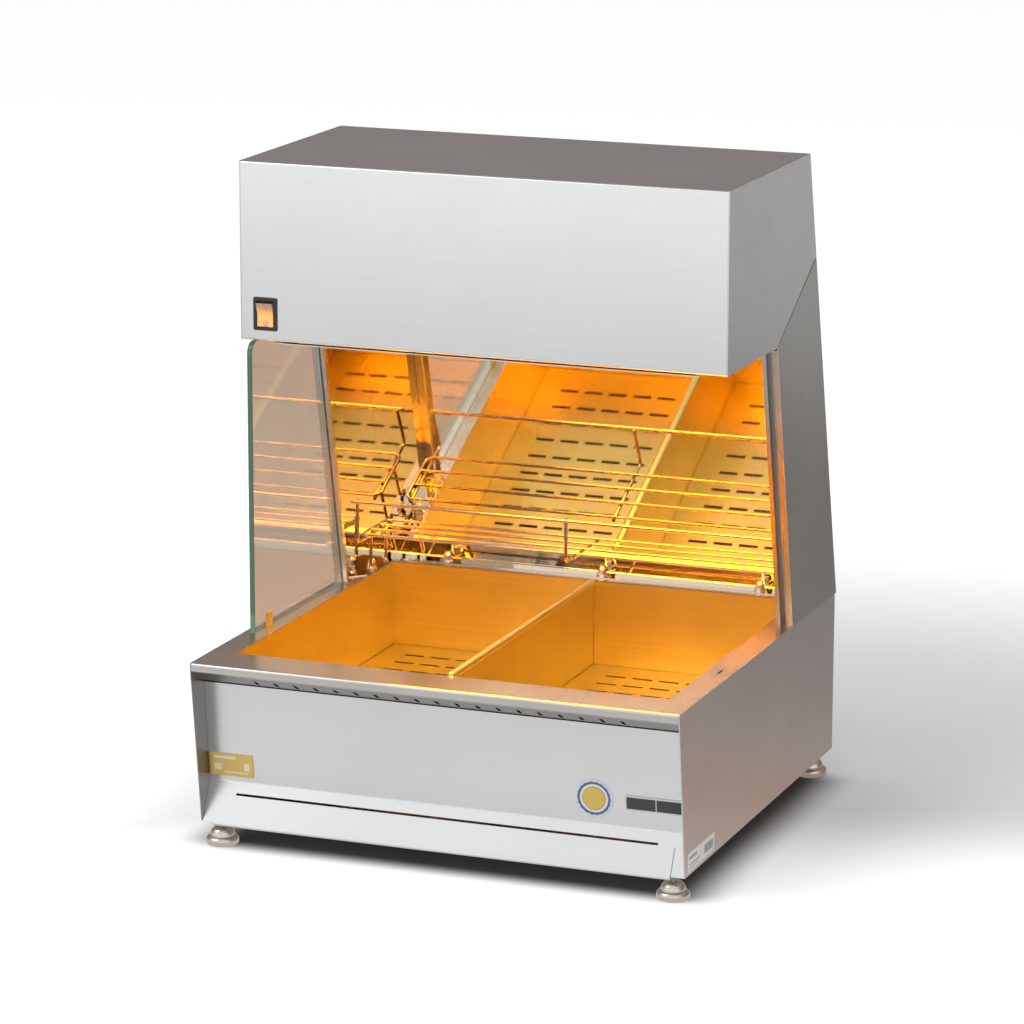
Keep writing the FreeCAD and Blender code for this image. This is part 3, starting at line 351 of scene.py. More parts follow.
def turned(profile, sides, centre, ripple):
    """Surface of revolution about +Z. Each (radius, height) goes round a circle, and ripple adds to
    its radius from the angle and the height."""
    profile = np.asarray(profile, float)
    angle = np.linspace(0, 2 * math.pi, sides, endpoint=False)
    radius = profile[:, :1] + ripple(angle[None, :], profile[:, 1:2])
    x = radius * np.cos(angle)[None, :]
    y = radius * np.sin(angle)[None, :]
    z = profile[:, 1:2] * np.ones((1, sides))
    return np.stack([x, y, z], -1) + np.asarray(centre, float)


def tube_along(path, radius, sides):
    """Round tube carried along a path: a circle in the plane square to the path at each point,
    with one radius for each point."""
    path = np.asarray(path, float)
    ahead = np.gradient(path, axis=0)
    ahead /= np.linalg.norm(ahead, axis=1, keepdims=True)
    helper = np.where(np.abs(ahead[:, 2:3]) > 0.9, [[1.0, 0.0, 0.0]], [[0.0, 0.0, 1.0]])
    side = np.cross(ahead, helper)
    side /= np.linalg.norm(side, axis=1, keepdims=True)
    up = np.cross(side, ahead)
    angle = np.linspace(0, 2 * math.pi, sides, endpoint=False)
    ring = (side[:, None, :] * np.cos(angle)[None, :, None]
            + up[:, None, :] * np.sin(angle)[None, :, None])
    return path[:, None, :] + ring * radius[:, None, None]


# ---------------------------------------------------------------- shared effects

def effect(name, inputs, outputs):
    """Empty node group with named sockets; returns the group, its input node and its output node."""
    group = bpy.data.node_groups.new(name, "ShaderNodeTree")
    kinds = {"value": "NodeSocketFloat", "vector": "NodeSocketVector"}
    for label, kind, default in inputs:
        socket = group.interface.new_socket(name=label, in_out="INPUT", socket_type=kinds[kind])
        if default is not None:
            socket.default_value = default
    for label, kind in outputs:
        group.interface.new_socket(name=label, in_out="OUTPUT", socket_type=kinds[kind])
    return group, group.nodes.new("NodeGroupInput"), group.nodes.new("NodeGroupOutput")


def make_grain():
    """Fine rolled lines: noise read at stretched coordinates, in two widths, with a slow cloud."""
    tree, given, out = effect(
        "rolled grain",
        [("Lines", "vector", None), ("Place", "vector", None), ("Depth", "value", 0.1)],
        [("Streak", "value"), ("Cloud", "value"), ("Normal", "vector")])
    fine = add_node(tree, "ShaderNodeTexNoise", None,
                    {"Vector": given.outputs["Lines"], "Scale": 1.0, "Detail": 3.0, "Roughness": 0.65})
    broad = add_node(tree, "ShaderNodeTexNoise", None,
                     {"Vector": given.outputs["Lines"], "Scale": 0.13, "Detail": 2.0})
    cloud = add_node(tree, "ShaderNodeTexNoise", None,
                     {"Vector": given.outputs["Place"], "Scale": 7.0, "Detail": 4.0, "Roughness": 0.55})
    streak = maths(tree, "ADD", maths(tree, "MULTIPLY", fine.outputs["Fac"], 0.65),
                   maths(tree, "MULTIPLY", broad.outputs["Fac"], 0.35))
    bump = add_node(tree, "ShaderNodeBump", None,
                    {"Height": fine.outputs["Fac"], "Strength": given.outputs["Depth"],
                     "Distance": 0.0002})
    tree.links.new(streak, out.inputs["Streak"])
    tree.links.new(cloud.outputs["Fac"], out.inputs["Cloud"])
    tree.links.new(bump.outputs[0], out.inputs["Normal"])
    return tree


def make_handling():
    """Faint wiped smears and touch marks, as a mask: stretched noise cut high, plus small blots."""
    tree, given, out = effect("handling marks", [("Place", "vector", None), ("Amount", "value", 0.5)],
                              [("Mark", "value")])
    wipe = add_node(tree, "ShaderNodeMapping", None,
                    {"Vector": given.outputs["Place"], "Rotation": (0.3, 0.5, 0.4),
                     "Scale": (9.0, 26.0, 18.0)})
    smear = add_node(tree, "ShaderNodeTexNoise", None,
                     {"Vector": wipe.outputs[0], "Scale": 1.0, "Detail": 5.0, "Roughness": 0.6})
    blot = add_node(tree, "ShaderNodeTexVoronoi", None,
                    {"Vector": given.outputs["Place"], "Scale": 42.0, "Randomness": 1.0})
    blots = remap(tree, blot.outputs["Distance"], 0.42, 0.10)
    smears = remap(tree, smear.outputs["Fac"], 0.50, 0.78)
    mark = maths(tree, "ADD", smears, maths(tree, "MULTIPLY", blots, 0.25), clamp=True)
    tree.links.new(maths(tree, "MULTIPLY", mark, given.outputs["Amount"]), out.inputs["Mark"])
    return tree


def make_heat_stain():
    """Straw and brown tint that heat leaves on steel, as a mask of slow patches."""
    tree, given, out = effect("heat stain", [("Place", "vector", None), ("Amount", "value", 0.5)],
                              [("Stain", "value")])
    patch = add_node(tree, "ShaderNodeTexNoise", None,
                     {"Vector": given.outputs["Place"], "Scale": 11.0, "Detail": 5.0, "Distortion": 0.6})
    worn = remap(tree, patch.outputs["Fac"], 0.40, 0.72)
    tree.links.new(maths(tree, "MULTIPLY", worn, given.outputs["Amount"]), out.inputs["Stain"])
    return tree


def make_speckle():
    """Fine moulded or cast texture: small noise as a mask and a matching normal."""
    tree, given, out = effect(
        "fine speckle",
        [("Place", "vector", None), ("Size", "value", 900.0), ("Depth", "value", 0.2)],
        [("Fleck", "value"), ("Normal", "vector")])
    fleck = add_node(tree, "ShaderNodeTexNoise", None,
                     {"Vector": given.outputs["Place"], "Scale": given.outputs["Size"], "Detail": 3.0})
    bump = add_node(tree, "ShaderNodeBump", None,
                    {"Height": fleck.outputs["Fac"], "Strength": given.outputs["Depth"],
                     "Distance": 0.0002})
    tree.links.new(fleck.outputs["Fac"], out.inputs["Fleck"])
    tree.links.new(bump.outputs[0], out.inputs["Normal"])
    return tree


def new_finish(name):
    """Material with a Principled shader; returns the material, its tree, shader and object place."""
    material = bpy.data.materials.new(name)
    material.use_nodes = True
    tree = material.node_tree
    tree.nodes.clear()
    shader = add_node(tree, "ShaderNodeBsdfPrincipled")
    output = add_node(tree, "ShaderNodeOutputMaterial")
    tree.links.new(shader.outputs[0], output.inputs["Surface"])
    place = add_node(tree, "ShaderNodeTexCoord").outputs["Object"]
    return material, tree, shader, place


def use(tree, group, **inputs):
    return add_node(tree, "ShaderNodeGroup", {"node_tree": group},
                    {key.replace("_", " "): value for key, value in inputs.items()})


LINES_FINE, LINES_SLOW = 2200.0, 6.0
METAL_GRAIN, MOULD_GRAIN, FILM_GRAIN, LABEL_GRAIN, PLATE_GRAIN = 700.0, 1400.0, 2600.0, 2400.0, 1600.0
STRAW, BROWN = (0.56, 0.42, 0.24, 1.0), (0.55, 0.38, 0.20, 1.0)


def between(tree, share, first, second):
    """Blend of two colours given without their alpha."""
    return blend_colours(tree, share, (*first, 1.0), (*second, 1.0))


def darkened(tone, share):
    return tuple(c * share for c in tone)


def rolled_steel(name, dark, light, rough, along="x", spread=0.05, depth=0.10, marks=0.5,
                 stain=0.0, dull=None):
    """Satin stainless sheet whose rolling lines run along one axis.

    dull is (axis, start, end, share): between start and end along that axis the colour drops to that share,
    a painted shade on faces that lie in shadow.
    """
    material, tree, shader, place = new_finish(name)
    stretch = tuple(LINES_SLOW if axis == along else LINES_FINE for axis in "xyz")
    lines = add_node(tree, "ShaderNodeMapping", None, {"Vector": place, "Scale": stretch}).outputs[0]
    grain = use(tree, GRAIN, Lines=lines, Place=place, Depth=depth).outputs
    mark = use(tree, HANDLING, Place=place, Amount=marks).outputs["Mark"]
    tone = maths(tree, "ADD", maths(tree, "MULTIPLY", grain["Streak"], 0.55),
                 maths(tree, "MULTIPLY", grain["Cloud"], 0.45))
    colour = between(tree, remap(tree, tone, 0.36, 0.64), dark, light)
    if stain:
        heat = use(tree, HEAT, Place=place, Amount=stain).outputs["Stain"]
        colour = blend_colours(tree, heat, colour, STRAW)
    # Painted shade: between start and end the base colour is scaled down to the given share.
    if dull:
        axis, start, end, share = dull
        hidden = remap(tree, split(tree, place)[axis], start, end)
        shaded_colour = add_node(tree, "ShaderNodeVectorMath", {"operation": "SCALE"}, {0: colour, "Scale": share})
        colour = blend_colours(tree, hidden, colour, shaded_colour.outputs[0])
    tree.links.new(colour, shader.inputs["Base Color"])
    base = maths(tree, "MULTIPLY_ADD", tone, spread * 2, rough - spread)
    gloss = maths(tree, "ADD", base, maths(tree, "MULTIPLY", mark, 0.07), clamp=True)
    tree.links.new(gloss, shader.inputs["Roughness"])
    shader.inputs["Metallic"].default_value = 1.0
    tree.links.new(grain["Normal"], shader.inputs["Normal"])
    return material


def bright_metal(name, tone, rough, marks=0.4, wave=0.0, stain=0.0, depth=0.04):
    """Polished or plated metal: fine pits, wiped marks that dull it, and a slow wave in thin sheet."""
    material, tree, shader, place = new_finish(name)
    speck = use(tree, SPECKLE, Place=place, Size=METAL_GRAIN, Depth=depth).outputs
    mark = use(tree, HANDLING, Place=place, Amount=marks).outputs["Mark"]
    colour = between(tree, remap(tree, speck["Fleck"], 0.3, 0.7), darkened(tone, 0.86), tone)
    if stain:
        heat = use(tree, HEAT, Place=place, Amount=stain).outputs["Stain"]
        colour = blend_colours(tree, heat, colour, BROWN)
    tree.links.new(colour, shader.inputs["Base Color"])
    tree.links.new(maths(tree, "MULTIPLY_ADD", mark, 0.10, rough), shader.inputs["Roughness"])
    shader.inputs["Metallic"].default_value = 1.0
    if wave:
        slow = add_node(tree, "ShaderNodeTexNoise", None, {"Vector": place, "Scale": 5.0, "Detail": 1.0})
        bump = add_node(tree, "ShaderNodeBump", None,
                        {"Height": slow.outputs["Fac"], "Strength": wave, "Distance": 0.002,
                         "Normal": speck["Normal"]})
        tree.links.new(bump.outputs[0], shader.inputs["Normal"])
    else:
        tree.links.new(speck["Normal"], shader.inputs["Normal"])
    return material


def moulded(name, tone, rough, depth=0.15, coat=0.0):
    """Moulded plastic or glazed ceramic: fine texture, darker flecks and dull touch marks."""
    material, tree, shader, place = new_finish(name)
    speck = use(tree, SPECKLE, Place=place, Size=MOULD_GRAIN, Depth=depth).outputs
    mark = use(tree, HANDLING, Place=place, Amount=0.3).outputs["Mark"]
    colour = between(tree, remap(tree, speck["Fleck"], 0.3, 0.7), darkened(tone, 0.78), tone)
    tree.links.new(colour, shader.inputs["Base Color"])
    tree.links.new(maths(tree, "MULTIPLY_ADD", mark, 0.15, rough), shader.inputs["Roughness"])
    tree.links.new(speck["Normal"], shader.inputs["Normal"])
    shader.inputs["Coat Weight"].default_value = coat
    return material


def pane_glass():
    """Clear float glass, green where the cut edges are seen, with a painted glow on those edges; lamps
    shine through it.
    """
    material, tree, shader, place = new_finish("clear pane")
    facing = add_node(tree, "ShaderNodeTexCoord").outputs["Normal"]
    flat = remap(tree, maths(tree, "ABSOLUTE", split(tree, facing)["X"]), 0.55, 0.85)
    mark = use(tree, HANDLING, Place=place, Amount=0.5).outputs["Mark"]
    colour = blend_colours(tree, flat, (0.42, 0.72, 0.56, 1.0), (0.90, 0.95, 0.92, 1.0))
    tree.links.new(colour, shader.inputs["Base Color"])
    # Painted glow: the cut edges emit a faint green light, though the glass is no lamp.
    edge = blend_colours(tree, flat, (0.075, 0.14, 0.10, 1.0), (0.0, 0.0, 0.0, 1.0))
    tree.links.new(edge, shader.inputs["Emission Color"])
    shader.inputs["Emission Strength"].default_value = 1.0
    tree.links.new(maths(tree, "MULTIPLY", mark, 0.05), shader.inputs["Roughness"])
    shader.inputs["Transmission Weight"].default_value = 1.0
    shader.inputs["IOR"].default_value = 1.5
    through = add_node(tree, "ShaderNodeBsdfTransparent", None, {"Color": (0.88, 0.92, 0.90, 1.0)})
    path = add_node(tree, "ShaderNodeLightPath")
    mix = add_node(tree, "ShaderNodeMixShader", None, {"Fac": path.outputs["Is Shadow Ray"]})
    tree.links.new(shader.outputs[0], mix.inputs[1])
    tree.links.new(through.outputs[0], mix.inputs[2])
    output = next(n for n in tree.nodes if n.type == "OUTPUT_MATERIAL")
    tree.links.new(mix.outputs[0], output.inputs["Surface"])
    return material


def glowing_tube():
    """Lit quartz tube: its glow fades to both ends, and ripples with the windings."""
    material, tree, shader, place = new_finish("lit quartz")
    inward = remap(tree, maths(tree, "ABSOLUTE", split(tree, place)["X"]), 0.212, 0.165)
    turns = add_node(tree, "ShaderNodeTexWave", {"wave_type": "BANDS", "bands_direction": "X"},
                     {"Vector": place, "Scale": 90.0, "Distortion": 0.6, "Detail": 1.0})
    ripple = maths(tree, "MULTIPLY_ADD", turns.outputs["Fac"], 0.35, 0.65)
    share = maths(tree, "MULTIPLY", inward, ripple)
    glow = blend_colours(tree, share, (0.25, 0.03, 0.0, 1.0), (1.0, 0.42, 0.04, 1.0))
    tree.links.new(glow, shader.inputs["Emission Color"])
    shader.inputs["Emission Strength"].default_value = 24.0
    shader.inputs["Base Color"].default_value = (0.9, 0.75, 0.6, 1.0)
    tree.links.new(maths(tree, "MULTIPLY_ADD", share, 0.1), shader.inputs["Roughness"])
    shader.inputs["Coat Weight"].default_value = 1.0
    return material


def lit_rocker():
    """Amber rocker lit from inside: the glow is strongest low down and breaks up in the moulding."""
    material, tree, shader, place = new_finish("lit amber")
    low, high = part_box("switch_rocker")
    patch = add_node(tree, "ShaderNodeTexNoise", None, {"Vector": place, "Scale": 95.0, "Detail": 2.0})
    fall = remap(tree, split(tree, place)["Z"], high.z, (low.z * 2 + high.z) / 3)
    share = maths(tree, "MULTIPLY", fall, remap(tree, patch.outputs["Fac"], 0.25, 0.60))
    colour = blend_colours(tree, share, (0.46, 0.27, 0.17, 1.0), (0.90, 0.42, 0.10, 1.0))
    tree.links.new(colour, shader.inputs["Base Color"])
    glow = blend_colours(tree, share, (0.10, 0.04, 0.012, 1.0), (0.70, 0.30, 0.05, 1.0))
    tree.links.new(glow, shader.inputs["Emission Color"])
    shader.inputs["Emission Strength"].default_value = 0.8
    tree.links.new(maths(tree, "MULTIPLY_ADD", patch.outputs["Fac"], 0.2), shader.inputs["Roughness"])
    shader.inputs["Coat Weight"].default_value = 0.8
    return material


def blank_plate():
    """Blank badge plate: bright rim, dark field, and a thin bright line that parts it in two."""
    material, tree, shader, place = new_finish("blank plate")
    low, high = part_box("nameplate")
    middle = (low + high) / 2
    half = (high - low) / 2
    axes = split(tree, place)
    across = maths(tree, "ABSOLUTE", maths(tree, "SUBTRACT", axes["X"], middle.x))
    upright = maths(tree, "ABSOLUTE", maths(tree, "SUBTRACT", axes["Z"], middle.z))
    gap_x = maths(tree, "SUBTRACT", half.x, across)
    gap_z = maths(tree, "SUBTRACT", half.z, upright)
    edge = maths(tree, "MINIMUM", gap_x, gap_z)
    rim = remap(tree, edge, 0.0022, 0.0016)
    line = maths(tree, "ABSOLUTE", maths(tree, "SUBTRACT", axes["X"], middle.x + 0.002))
    parting = remap(tree, line, 0.0007, 0.0003)
    bright = maths(tree, "MAXIMUM", rim, parting)
    speck = use(tree, SPECKLE, Place=place, Size=PLATE_GRAIN, Depth=0.1).outputs
    tone = blend_colours(tree, speck["Fleck"], (0.045, 0.045, 0.05, 1.0), (0.075, 0.075, 0.08, 1.0))
    colour = blend_colours(tree, bright, tone, (0.70, 0.70, 0.70, 1.0))
    tree.links.new(colour, shader.inputs["Base Color"])
    tree.links.new(maths(tree, "MAXIMUM", bright, 0.15), shader.inputs["Metallic"])
    tree.links.new(maths(tree, "MULTIPLY_ADD", speck["Fleck"], 0.3), shader.inputs["Roughness"])
    tree.links.new(speck["Normal"], shader.inputs["Normal"])
    return material


def printed_film(name, ground, ink, bars, across, corner, size):
    """Stuck-on label film: plain ground with blank bars of ink.

    Each bar is (start, end, foot, top), in shares of the label's size from its lower corner.
    The first two run along the across axis, and the others along Z.
    """
    material, tree, shader, place = new_finish(name)
    axes = split(tree, place)
    inked = None
    for (u0, u1, v0, v1) in bars:
        left = maths(tree, "GREATER_THAN", axes[across], corner[0] + u0 * size[0])
        right = maths(tree, "LESS_THAN", axes[across], corner[0] + u1 * size[0])
        low = maths(tree, "GREATER_THAN", axes["Z"], corner[1] + v0 * size[1])
        high = maths(tree, "LESS_THAN", axes["Z"], corner[1] + v1 * size[1])
        bar = maths(tree, "MULTIPLY", maths(tree, "MULTIPLY", left, right),
                    maths(tree, "MULTIPLY", low, high))
        inked = bar if inked is None else maths(tree, "MAXIMUM", inked, bar)
    speck = use(tree, SPECKLE, Place=place, Size=LABEL_GRAIN, Depth=0.05).outputs
    paper = between(tree, speck["Fleck"], darkened(ground, 0.93), ground)
    tree.links.new(blend_colours(tree, inked, paper, (*ink, 1.0)), shader.inputs["Base Color"])
    tree.links.new(maths(tree, "MULTIPLY_ADD", speck["Fleck"], 0.35), shader.inputs["Roughness"])
    tree.links.new(speck["Normal"], shader.inputs["Normal"])
    shader.inputs["Coat Weight"].default_value = 0.3
    return material


def plain_film(name, tone):
    """Coloured film with a slight print grain."""
    material, tree, shader, place = new_finish(name)
    speck = use(tree, SPECKLE, Place=place, Size=FILM_GRAIN, Depth=0.04).outputs
    colour = between(tree, speck["Fleck"], darkened(tone, 0.88), tone)
    tree.links.new(colour, shader.inputs["Base Color"])
    tree.links.new(maths(tree, "MULTIPLY_ADD", speck["Fleck"], 0.3), shader.inputs["Roughness"])
    shader.inputs["Coat Weight"].default_value = 0.3
    return material


# ---------------------------------------------------------------- pieces added to the frame

# The front panel leans back from a fold at KINK; the lean is its run over its rise.
KINK_Y, KINK_Z = -0.2308, 0.0700
PANEL_LEAN = (0.0447 - 0.0330) / (0.1830 - 0.0700)
FILM_LIFT, FILM_THICK, FILM_CORNER = 0.00022, 0.00015, 0.002
BADGE_CENTRE, BADGE_THICK, BADGE_SCALLOPS = (0.1710, 0.0985), 0.00012, 18
COIL_TURNS, COIL_END, COIL_THICK, COIL_LIFT = 46, 0.025, 0.00035, 0.0002
CAP_SIDES, CAP_ROUND = 28, 24
THREAD_PITCH, THREAD_DEPTH, THREAD_RADIUS, THREAD_ROOT = 0.00125, 0.0004, 0.00415, 0.0034
THREAD_FOOT, THREAD_TOP = 0.0202, 0.0272
BEAD_RADIUS, BEAD_HALF, BEAD_SWELL, BEAD_SIDES = 0.0026, 0.0017, 0.12, 14


def circle(sides):
    """Angles round a circle, the last one short of the first."""
    return np.linspace(0, 2 * math.pi, sides, endpoint=False)


def on_panel(x, z, lift):
    """Points that stand a lift off the leaning front panel."""
    square = math.hypot(1.0, PANEL_LEAN)
    y = KINK_Y - (z - KINK_Z) * PANEL_LEAN - lift / square
    return np.stack([x, y, z], -1)


def film_patch(name, x0, x1, z0, z1, material):
    """Label with rounded corners: a grid whose rows shorten along quarter circles at both ends."""
    steps = np.linspace(0.0, 1.0, 14)
    z = z0 + (z1 - z0) * (1 - np.cos(math.pi * steps)) / 2
    near = np.minimum(z - z0, z1 - z)
    drop = np.sqrt(np.maximum(FILM_CORNER**2 - (FILM_CORNER - near)**2, 0))
    inset = np.where(near < FILM_CORNER, FILM_CORNER - drop, 0)
    x = (x0 + inset)[:, None] + ((x1 - x0) - 2 * inset)[:, None] * steps[None, :]
    made = surface(name, on_panel(x, z[:, None] * np.ones((1, len(steps))), FILM_LIFT))
    finish_piece(made, material, "base", thick=FILM_THICK)


def finish_piece(made, material, body, thick=0.0):
    """Gives a piece its wall, material and body."""
    if thick:
        wall = made.modifiers.new("wall", "SOLIDIFY")
        wall.thickness = thick
        wall.offset = 0.0
    made.data.materials.append(material)
    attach(made, body)


def round_badge():
    """Blank rosette: discs and a ring about one centre, two of them scalloped by a cosine."""
    angle = circle(144)

    def disc(name, inner, outer, wave, lift, material):
        steps = np.linspace(0.0, 1.0, 5)
        edge = outer * (1 + wave * np.cos(BADGE_SCALLOPS * angle))
        radius = inner + (edge[None, :] - inner) * steps[:, None]
        x = BADGE_CENTRE[0] + radius * np.cos(angle)[None, :]
        z = BADGE_CENTRE[1] + radius * np.sin(angle)[None, :]
        made = surface(name, on_panel(x, z, lift), around=True)
        finish_piece(made, material, "base", thick=BADGE_THICK)

    disc("badge_disc", 0.0, 0.0215, 0.030, 0.00025, plain_film("white film", (0.90, 0.91, 0.92)))
    disc("badge_ring", 0.0160, 0.0188, 0.018, 0.00042, plain_film("blue film", (0.10, 0.16, 0.40)))
    disc("badge_middle", 0.0, 0.0135, 0.0, 0.00042, plain_film("gold film", (0.80, 0.56, 0.12)))


def lamp_coils(material, cap_material):
    """Helix of heating wire at each tube's skin, and a rounded ceramic ring at each tube end."""
    for name in ("lamp_tube_front", "lamp_tube_rear"):
        low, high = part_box(name)
        y, z = (low.y + high.y) / 2, (low.z + high.z) / 2
        radius = (high.z - low.z) / 2
        length = high.x - low.x - 2 * COIL_END
        t = np.linspace(0.0, 1.0, COIL_TURNS * 10)
        swing = 2 * math.pi * COIL_TURNS * t
        reach = radius + COIL_LIFT
        path = np.stack([low.x + COIL_END + length * t, y + reach * np.cos(swing),
                         z + reach * np.sin(swing)], -1)
        thick = COIL_THICK * np.minimum(1.0, np.minimum(t, 1.0 - t) * 400)
        coil = surface(name.replace("tube", "winding"), tube_along(path, thick, 5)[:, ::-1], around=True)
        finish_piece(coil, material, "base")
        caps = []
        for side in (-1, 1):
            end = (low.x if side < 0 else high.x) - side * 0.0065
            turn, angle = circle(CAP_ROUND), circle(CAP_SIDES)
            across = end - side * (0.006 + 0.006 * np.cos(turn))
            profile = radius + 0.0007 + 0.0013 * np.sin(turn)
            grid = np.stack([across[:, None] * np.ones((1, CAP_SIDES)),
                             y + profile[:, None] * np.cos(angle)[None, :],
                             z + profile[:, None] * np.sin(angle)[None, :]], -1)
            caps.append(np.concatenate([grid, grid[:1]])[:, ::side])
        cap = joined(name.replace("tube", "caps"), caps)
        finish_piece(cap, cap_material, "base")


def foot_threads(material):
    """Thread on each stem above its bell: radius rises and falls once a turn, along a helix."""
    def ripple(angle, height):
        return THREAD_DEPTH * np.abs(((height / THREAD_PITCH - angle / (2 * math.pi)) % 1.0) * 2 - 1)

    for place in ("front_left", "front_right", "rear_left", "rear_right"):
        low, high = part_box("foot_stem_" + place)
        heights = np.linspace(THREAD_FOOT, THREAD_TOP, 57)
        reach = np.full_like(heights, THREAD_RADIUS)
        reach[[0, -1]] = THREAD_ROOT
        centre = ((low.x + high.x) / 2, (low.y + high.y) / 2, 0.0)
        grid = turned(np.stack([reach, heights], -1), 40, centre, ripple)
        made = surface("foot_thread_" + place, grid, around=True, along=True)
        finish_piece(made, material, "foot_" + place)


def rack_welds(material):
    """Flattened beads where the rack's wires cross: squashed spheres swollen by a slow ripple."""
    floor_low, floor_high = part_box("rack_floor_wires")
    cross_low, cross_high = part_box("rack_cross_wires")
    rail_low, rail_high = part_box("rack_rail")
    long_half, cross_half = 0.0018, 0.002
    rows = np.linspace(floor_low.y + long_half, floor_high.y - long_half, 4)
    columns = (cross_low.x + cross_half, (cross_low.x + cross_high.x) / 2, cross_high.x - cross_half)
    spots = [(x, y, floor_low.z) for x in columns for y in rows]
    spots += [(x, rail_high.y - 0.0003, (rail_low.z + rail_high.z) / 2) for x in columns]
    polar = np.linspace(0.0, math.pi, 9)[:, None]
    angle = circle(BEAD_SIDES)[None, :]
    beads = []
    for number, spot in enumerate(spots):
        swell = 1 + BEAD_SWELL * np.cos(3 * angle + number) * np.sin(polar)
        x = BEAD_RADIUS * swell * np.sin(polar) * np.cos(angle)
        y = BEAD_RADIUS * swell * np.sin(polar) * np.sin(angle)
        z = BEAD_HALF * np.cos(polar) * np.ones((1, BEAD_SIDES))
        beads.append(np.stack([x, y, z], -1)[::-1] + np.array(spot))
    made = joined("rack_weld_beads", beads)
    finish_piece(made, material, "rack")


# ---------------------------------------------------------------- build

GRAIN, HANDLING, HEAT, SPECKLE = make_grain(), make_handling(), make_heat_stain(), make_speckle()

aim_camera()
lay_floor()
light_studio()

# Painted light and shade: the stainless sheets below are one steel in lit and shaded copies. The front
# sheet has the lightest tone, the side, base and deck sheets darker ones, the base and lipped sheets a
# warmer one, and the columns and the right glass channel the darkest.
front_steel_lit_copy = rolled_steel("satin front sheet, lit copy", (0.705, 0.708, 0.715), (0.735, 0.738, 0.745), 0.26,
                           spread=0.015, depth=0.04, marks=0.12)
side_steel = rolled_steel("satin side sheet", (0.62, 0.615, 0.61), (0.68, 0.675, 0.67), 0.32, "y")
base_steel = rolled_steel("satin base sheet", (0.62, 0.59, 0.57), (0.68, 0.65, 0.625), 0.32, "y")
# Painted shade: these sheets darken just inside the outer skin, so only their outer face keeps its full
# tone.
SKIN_DEPTH = 0.0004
skin = CAD_BOX[1][0] - SKIN_DEPTH
left_steel = rolled_steel("satin left sheet, painted shade inside", (0.62, 0.59, 0.57), (0.68, 0.65, 0.625), 0.32, "y",
                          dull=("X", -skin, -skin + SKIN_DEPTH, 0.42))
column_left_steel_shaded_copy = rolled_steel("satin left column, shaded copy", (0.46, 0.445, 0.425), (0.52, 0.505, 0.48), 0.32,
                                 "z", dull=("X", -skin, -skin + SKIN_DEPTH, 0.75))
column_right_steel_shaded_copy = rolled_steel("satin right column, shaded copy", (0.46, 0.445, 0.425), (0.52, 0.505, 0.48), 0.32,
                                  "z", dull=("X", skin, skin - SKIN_DEPTH, 0.75))
deck_steel = rolled_steel("satin deck sheet", (0.56, 0.55, 0.54), (0.66, 0.65, 0.64), 0.22, "x",
                          marks=0.4)
deck_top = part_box("top_deck")[1].z
# Painted shade: the deck's sheet darkens on the band below its lip.
lipped_steel = rolled_steel("satin lipped sheet, painted shade below lip", (0.54, 0.51, 0.48), (0.64, 0.61, 0.57), 0.22, "x",
                            marks=0.4, dull=("Z", deck_top - 0.0105, deck_top - 0.0125, 0.36))
channel_steel_shaded_copy = rolled_steel("satin channel sheet, shaded copy", (0.38, 0.355, 0.33), (0.46, 0.43, 0.40), 0.22, "z",
                             marks=0.4)
# Painted light: the well's steel has a strong golden base colour that stands in for the heat lamps' warm
# light; the faint heat stain on top is the steel's own.
well_steel_lamp_tinted = rolled_steel("well sheet, painted lamp glow", (0.63, 0.54, 0.19), (0.74, 0.64, 0.24), 0.32, "x",
                           marks=0.2, stain=0.06)
dark_steel = rolled_steel("mill finish sheet", (0.40, 0.40, 0.40), (0.52, 0.52, 0.52), 0.40, "x")
mirror = bright_metal("mirror sheet", (0.88, 0.82, 0.72), 0.03, marks=0.10, wave=0.10, depth=0.004)
shade = bright_metal("lamp shade sheet", (0.85, 0.80, 0.72), 0.16, marks=0.4, stain=0.35)
wire = bright_metal("plated wire", (0.36, 0.32, 0.28), 0.20, marks=0.3, stain=0.15)
foot = bright_metal("turned foot", (0.66, 0.62, 0.56), 0.20, marks=0.6, depth=0.08)
bolt = bright_metal("fastener steel", (0.74, 0.72, 0.69), 0.20, marks=0.3)
black = moulded("black moulding", (0.018, 0.018, 0.020), 0.28, coat=0.2)
nylon = moulded("black nylon", (0.030, 0.030, 0.032), 0.45)
cream = moulded("cream moulding", (0.80, 0.75, 0.64), 0.45)
ceramic = moulded("white ceramic", (0.86, 0.82, 0.76), 0.25, depth=0.08, coat=0.5)
glass = pane_glass()
tube_glow = glowing_tube()

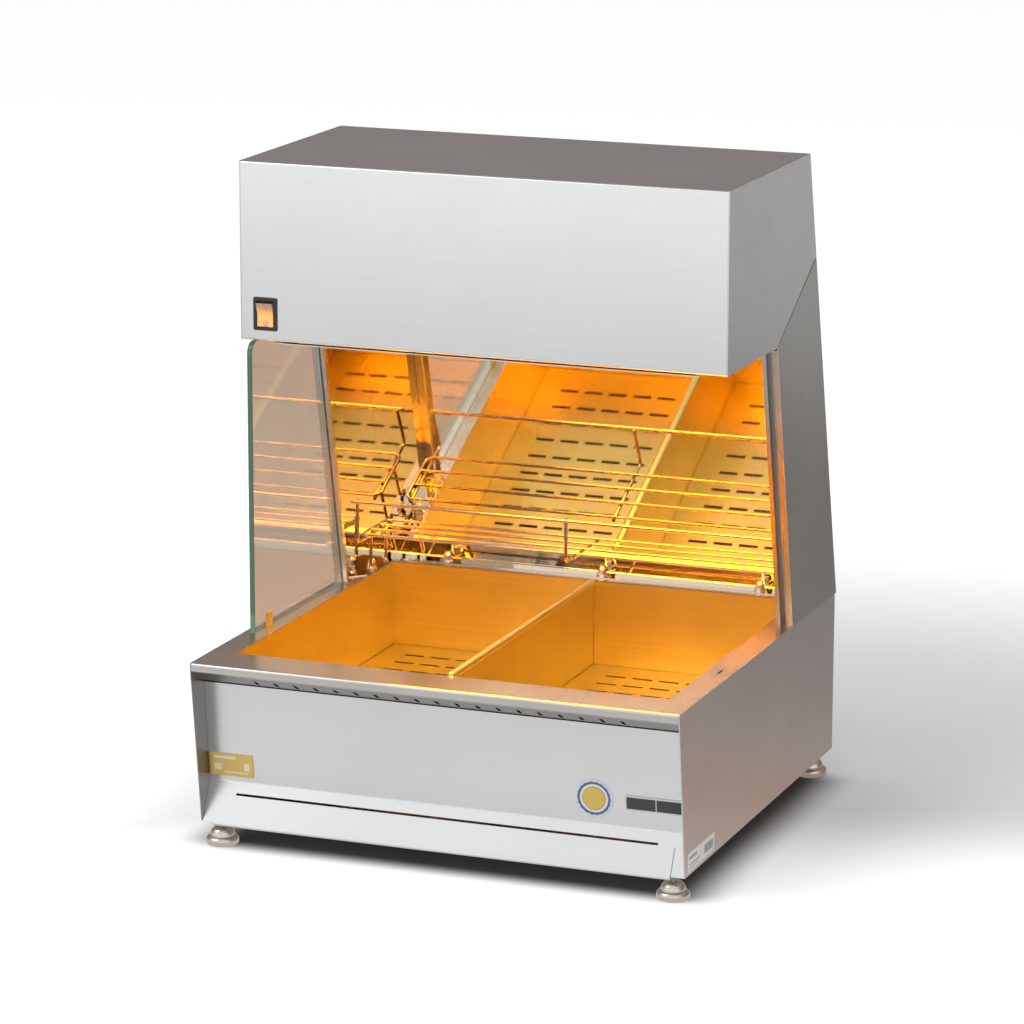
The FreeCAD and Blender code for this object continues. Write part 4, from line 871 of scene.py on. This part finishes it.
FINISHES = {
    "canopy_wrap": front_steel_lit_copy, "canopy_side_left": side_steel, "canopy_side_right": side_steel,
    "canopy_rear": base_steel, "canopy_floor": deck_steel, "rear_cover": base_steel,
    "column_skin_left": column_left_steel_shaded_copy, "column_skin_right": column_right_steel_shaded_copy,
    "side_panel_left": left_steel, "side_panel_right": base_steel, "front_panel": front_steel_lit_copy,
    "top_deck": lipped_steel, "bottom_plate": dark_steel, "rear_panel": side_steel,
    "well_tub": well_steel_lamp_tinted, "drain_plate_left": well_steel_lamp_tinted, "drain_plate_right": well_steel_lamp_tinted,
    "divider": well_steel_lamp_tinted, "crumb_tray": dark_steel, "tray_front": front_steel_lit_copy,
    "tray_rails": dark_steel, "mirror_back": mirror, "mirror_side_left": mirror,
    "mirror_side_right": mirror, "glass_channel_left": deck_steel,
    "glass_channel_right": channel_steel_shaded_copy, "glass_clip": well_steel_lamp_tinted, "glass_pane": glass,
    "reflector_pan": shade, "lamp_tube_front": tube_glow, "lamp_tube_rear": tube_glow,
    "lamp_holders": ceramic, "terminal_block": cream, "switch_bezel": black, "switch_body": black,
    "switch_rocker": lit_rocker(), "cable_gland": nylon, "gland_locknut": nylon,
    "nameplate": blank_plate(), "cap_nuts": bolt, "weld_studs": bolt, "deck_screws": bolt,
    "rear_screws": bolt, "foot_sockets": bolt,
}
for name, node in NODES.items():
    finish = FINISHES.get(name)
    if name.startswith("rack_"):
        finish = wire
    if name.startswith("foot_pad") or name.startswith("foot_stem"):
        finish = foot
    node.data.materials.clear()
    node.data.materials.append(finish)

LEFT, RIGHT = -0.280, 0.280
film_patch("label_left", LEFT + 0.0015, LEFT + 0.055, 0.0755, 0.102,
           printed_film("amber film", (0.80, 0.54, 0.15), (0.88, 0.80, 0.62),
                        [(0.12, 0.60, 0.74, 0.86), (0.12, 0.28, 0.24, 0.52), (0.34, 0.86, 0.14, 0.20),
                         (0.78, 0.90, 0.28, 0.60)],
                        "X", (LEFT + 0.0015, 0.0755), (0.0535, 0.0265)))
round_badge()

side_y, side_z = np.meshgrid(np.linspace(-0.2445, -0.1560, 12), np.linspace(0.0300, 0.0520, 8),
                             indexing="ij")
side_label = surface("label_right", np.stack([np.full_like(side_y, RIGHT + 0.0001), side_y, side_z], -1))
finish_piece(side_label,
             printed_film("white label film", (0.82, 0.82, 0.80), (0.38, 0.38, 0.38),
                          [(0.06, 0.34, 0.62, 0.80), (0.06, 0.46, 0.34, 0.42), (0.06, 0.40, 0.18, 0.24),
                           (0.62, 0.94, 0.30, 0.74)],
                          "Y", (-0.2445, 0.0300), (0.0885, 0.0220)),
             "base", thick=FILM_THICK)

lamp_coils(tube_glow, ceramic)
foot_threads(foot)
rack_welds(wire)

scene = bpy.context.scene
scene.view_settings.view_transform = "Standard"
scene.view_settings.look = "None"
